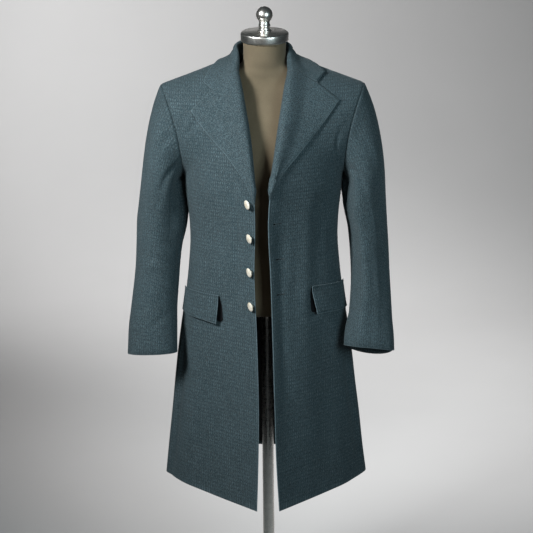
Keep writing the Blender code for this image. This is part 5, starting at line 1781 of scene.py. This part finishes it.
def satin_material(mottle):
    made, b = material("black_satin", Roughness=0.42)
    b.set("Specular IOR Level", 0.16)
    place, tones = b.tones(mottle, Scale=12.0, Fleck=900.0)
    b.set("Base Color", b.mix(tones["Tone"], (0.0040, 0.0040, 0.0048, 1), (0.0075, 0.0075, 0.0085, 1)))
    b.set("Roughness", b.fade(tones["Patch"], 0.0, 1.0, 0.36, 0.52))
    threads = b.add("ShaderNodeTexWave", {"Vector": place, "Scale": 420.0, "Distortion": 1.5})
    b.bump(0.10, 0.0002, threads)
    return made


def shaded_linen_material(mottle):
    """Tan linen over the form, woven square, its colour darkened to about half as painted shade for the
    coat's shadow over the form.
    """
    made, b = material("form_linen_shaded", Roughness=0.90, Sheen_Weight=0.12, Sheen_Roughness=0.5)
    place, tones = b.tones(mottle, Scale=14.0, Fleck=800.0)
    warp = b.add("ShaderNodeTexWave", {"Vector": place, "Scale": 190.0, "Distortion": 1.2, "Detail": 1.0})
    weft = b.add(
        "ShaderNodeTexWave", {"Vector": place, "Scale": 190.0, "Distortion": 1.2}, bands_direction="Z"
    )
    weave = b.maths("MULTIPLY", warp, weft)
    # These tans are darkened: painted shade of the coat's shadow on the form.
    ground = b.mix(tones["Tone"], (0.098, 0.073, 0.042, 1), (0.128, 0.097, 0.058, 1))
    ground = b.mix(b.maths("MULTIPLY", weave, 0.35), ground, (0.22, 0.175, 0.115, 1))
    ground = b.mix(b.maths("MULTIPLY", tones["Flecks"], 0.25), ground, (0.075, 0.055, 0.034, 1))
    b.set("Base Color", ground)
    b.bump(0.5, 0.0004, weave)
    return made


def pearl_material(mottle):
    """Cream shell with a soft lustre and faint clouding."""
    made, b = material("cream_shell", Roughness=0.28, Coat_Weight=0.5, Coat_Roughness=0.10)
    _, tones = b.tones(mottle, Scale=95.0, Fleck=1600.0)
    ground = b.mix(tones["Tone"], (0.50, 0.42, 0.30, 1), (0.74, 0.69, 0.60, 1))
    ground = b.mix(b.maths("MULTIPLY", tones["Patch"], 0.35), ground, (0.80, 0.76, 0.70, 1))
    b.set("Base Color", ground)
    b.set("Roughness", b.fade(tones["Flecks"], 0, 1, 0.24, 0.36))
    return made


def steel_material(mottle):
    """Turned steel: bright, with fine marks round it and a little dulling."""
    made, b = material("turned_steel", Metallic=1.0, Roughness=0.28)
    place, tones = b.tones(mottle, Scale=22.0, Fleck=500.0)
    split = b.add("ShaderNodeSeparateXYZ", {0: place}).node.outputs[2]
    rings = b.add("ShaderNodeTexNoise", {"W": split, "Scale": 1600.0, "Detail": 2.0}, noise_dimensions="1D")
    b.set("Base Color", b.mix(tones["Tone"], (0.80, 0.77, 0.73, 1), (0.88, 0.85, 0.81, 1)))
    rough = b.maths("ADD", b.fade(rings, 0.3, 0.7, 0.24, 0.32), b.maths("MULTIPLY", tones["Patch"], 0.04))
    b.set("Roughness", rough)
    b.bump(0.02, 0.0001, rings)
    return made


def thread_material(name, mottle, deep, pale, shine=0.3):
    made, b = material(name, Roughness=0.7, Sheen_Weight=shine)
    b.set("Specular IOR Level", shine)
    _, tones = b.tones(mottle, Scale=60.0, Fleck=2500.0)
    b.set("Base Color", b.mix(tones["Flecks"], deep, pale))
    return made


# ---------------------------------------------------------------- room, lights and camera
def studio_material():
    made, b = material("studio_paper", Roughness=0.92)
    b.set("Specular IOR Level", 0.1)
    place = b.add("ShaderNodeTexCoord", out=3)
    grain = b.noise(place, 3.0, 3.0)
    b.set("Base Color", b.mix(grain, (0.445, 0.438, 0.436, 1), (0.470, 0.463, 0.461, 1)))
    return made


def build_studio():
    """A floor that curves up into the wall behind."""
    steps = np.linspace(0, 1, 25)
    bend = steps * math.pi / 2
    radius, wall_y, width = 1.6, 4.2, 9.0
    line = [(-6.0, 0.0), (0.0, 0.0)]
    line += [(wall_y - radius + radius * math.sin(a), radius - radius * math.cos(a)) for a in bend]
    line += [(wall_y, 6.0)]
    points = [(x, y, z - 0.0005) for y, z in line for x in (-width, width)]
    faces = [(2 * k, 2 * k + 1, 2 * k + 3, 2 * k + 2) for k in range(len(line) - 1)]
    mesh = bpy.data.meshes.new("studio_paper")
    mesh.from_pydata(points, [], faces)
    mesh.shade_smooth()
    mesh.materials.append(studio_material())
    put_in_scene("studio_paper", mesh)


Lamp = namedtuple("Lamp", "name place target size spread power colour")
LAMPS = [
    Lamp("key", (-1.30, -1.28, 2.28), (0.0, -0.10, 1.18), (0.5, 0.5), 65, 10.4, (0.96, 1.0, 1.0)),
    Lamp("fill", (1.15, -2.05, 1.80), (0.0, -0.10, 1.10), (0.8, 0.8), 100, 9.4, (0.76, 0.95, 1.0)),
    Lamp("room", (-0.40, -3.00, 1.90), (0.0, 0.0, 1.10), (2.4, 2.0), 180, 4.5, (1.0, 0.93, 0.86)),
]
Pool = namedtuple("Pool", "name place target angle power")  # soft spots on the paper alone
POOLS = [
    Pool("paper_left", (-1.65, 2.31, 3.23), (-0.50, 3.56, 1.30), 85, 560),
    Pool("paper_right", (0.66, 0.95, 2.49), (0.33, 1.62, 0.05), 80, 310),
]


def aim(light, lamp):
    """Hangs a light in its lamp's place, turned to its target."""
    light.energy = lamp.power
    holder = put_in_scene(lamp.name, light)
    holder.location = lamp.place
    way = Vector(lamp.target) - Vector(lamp.place)
    holder.rotation_euler = way.to_track_quat("-Z", "Y").to_euler()


def build_lights():
    for lamp in LAMPS:
        light = bpy.data.lights.new(lamp.name, "AREA")
        light.shape = "RECTANGLE"
        light.size, light.size_y = lamp.size
        light.spread = math.radians(lamp.spread)
        light.color = lamp.colour
        aim(light, lamp)
    for pool in POOLS:
        light = bpy.data.lights.new(pool.name, "SPOT")
        light.spot_size = math.radians(pool.angle)
        light.spot_blend = 1.0
        light.shadow_soft_size = 0.25
        aim(light, pool)
    world = bpy.data.worlds.new("studio_air")
    world.use_nodes = True
    world.node_tree.nodes["Background"].inputs["Color"].default_value = (0.80, 0.94, 1.0, 1)
    world.node_tree.nodes["Background"].inputs["Strength"].default_value = 0.04
    bpy.context.scene.world = world
    bpy.context.scene.view_settings.view_transform = "Standard"


def build_camera():
    data = bpy.data.cameras.new("camera")
    data.sensor_width = SENSOR
    data.lens = FOCAL_LENGTH / PICTURE_SIDE * SENSOR
    camera = put_in_scene("camera", data)
    camera.matrix_world = (
        Matrix.Translation(CAMERA_PLACE)
        @ Matrix.Rotation(CAMERA_PITCH, 4, "X")
        @ Matrix.Rotation(CAMERA_ROLL, 4, "Z")
    )
    bpy.context.scene.camera = camera


# A piece's cut size, as width and length; no sizes are given here. Measured flat, the fronts are 1.08
# m long and the under sleeves 0.57 and 0.60 m, which is more than is declared here, and the flaps are
# 0.12 m wide.
Cut = namedtuple("Cut", "width length")


def main():
    build_camera()
    mottle, birdseye = mottle_group(), birdseye_group()
    wool = wool_material("birdseye_wool", birdseye, mottle, Weave(0.0056, 0.0086, 0.56, 0.30))
    # The turned cloth's finer eyes are its own; drawn fainter, they make it darker than the fronts: painted
    # shade on the lapels and collar.
    facing = wool_material("birdseye_wool_turned_shaded", birdseye, mottle, Weave(0.0040, 0.0044, 0.40, 0.37))
    satin = satin_material(mottle)
    thread = thread_material("pick_thread", mottle, (0.090, 0.112, 0.122, 1), (0.150, 0.178, 0.190, 1))
    twist = thread_material("buttonhole_twist", mottle, (0.020, 0.034, 0.040, 1), (0.048, 0.066, 0.074, 1))
    # Near-black and without shine: painted shade in the buttonholes' openings.
    dark, darker = (0.0018, 0.0022, 0.0026, 1), (0.0006, 0.0008, 0.0010, 1)
    hole_shade = thread_material("buttonhole_painted_shade", mottle, darker, dark, 0)

    panels = build_panels(wool, satin)
    build_linings(panels, satin)
    tree = surface_tree([panels[part, side][0] for part in ("front", "back") for side in (RIGHT, LEFT)])
    sleeves = build_sleeves(tree, wool, satin)
    turned_cloth = build_collar_and_lapels(tree, facing)
    flaps = build_flaps(tree, wool)
    flap_shadow_wedges = build_flap_shadow_wedges(tree, satin)
    sewing = build_stitches(panels, turned_cloth, flaps, thread)
    holes = buttonholes(tree, twist, hole_shade)
    build_buttons(pearl_material(mottle))
    torso = build_torso(shaded_linen_material(mottle))
    build_stand(steel_material(mottle))

    build_studio()
    build_lights()


main()
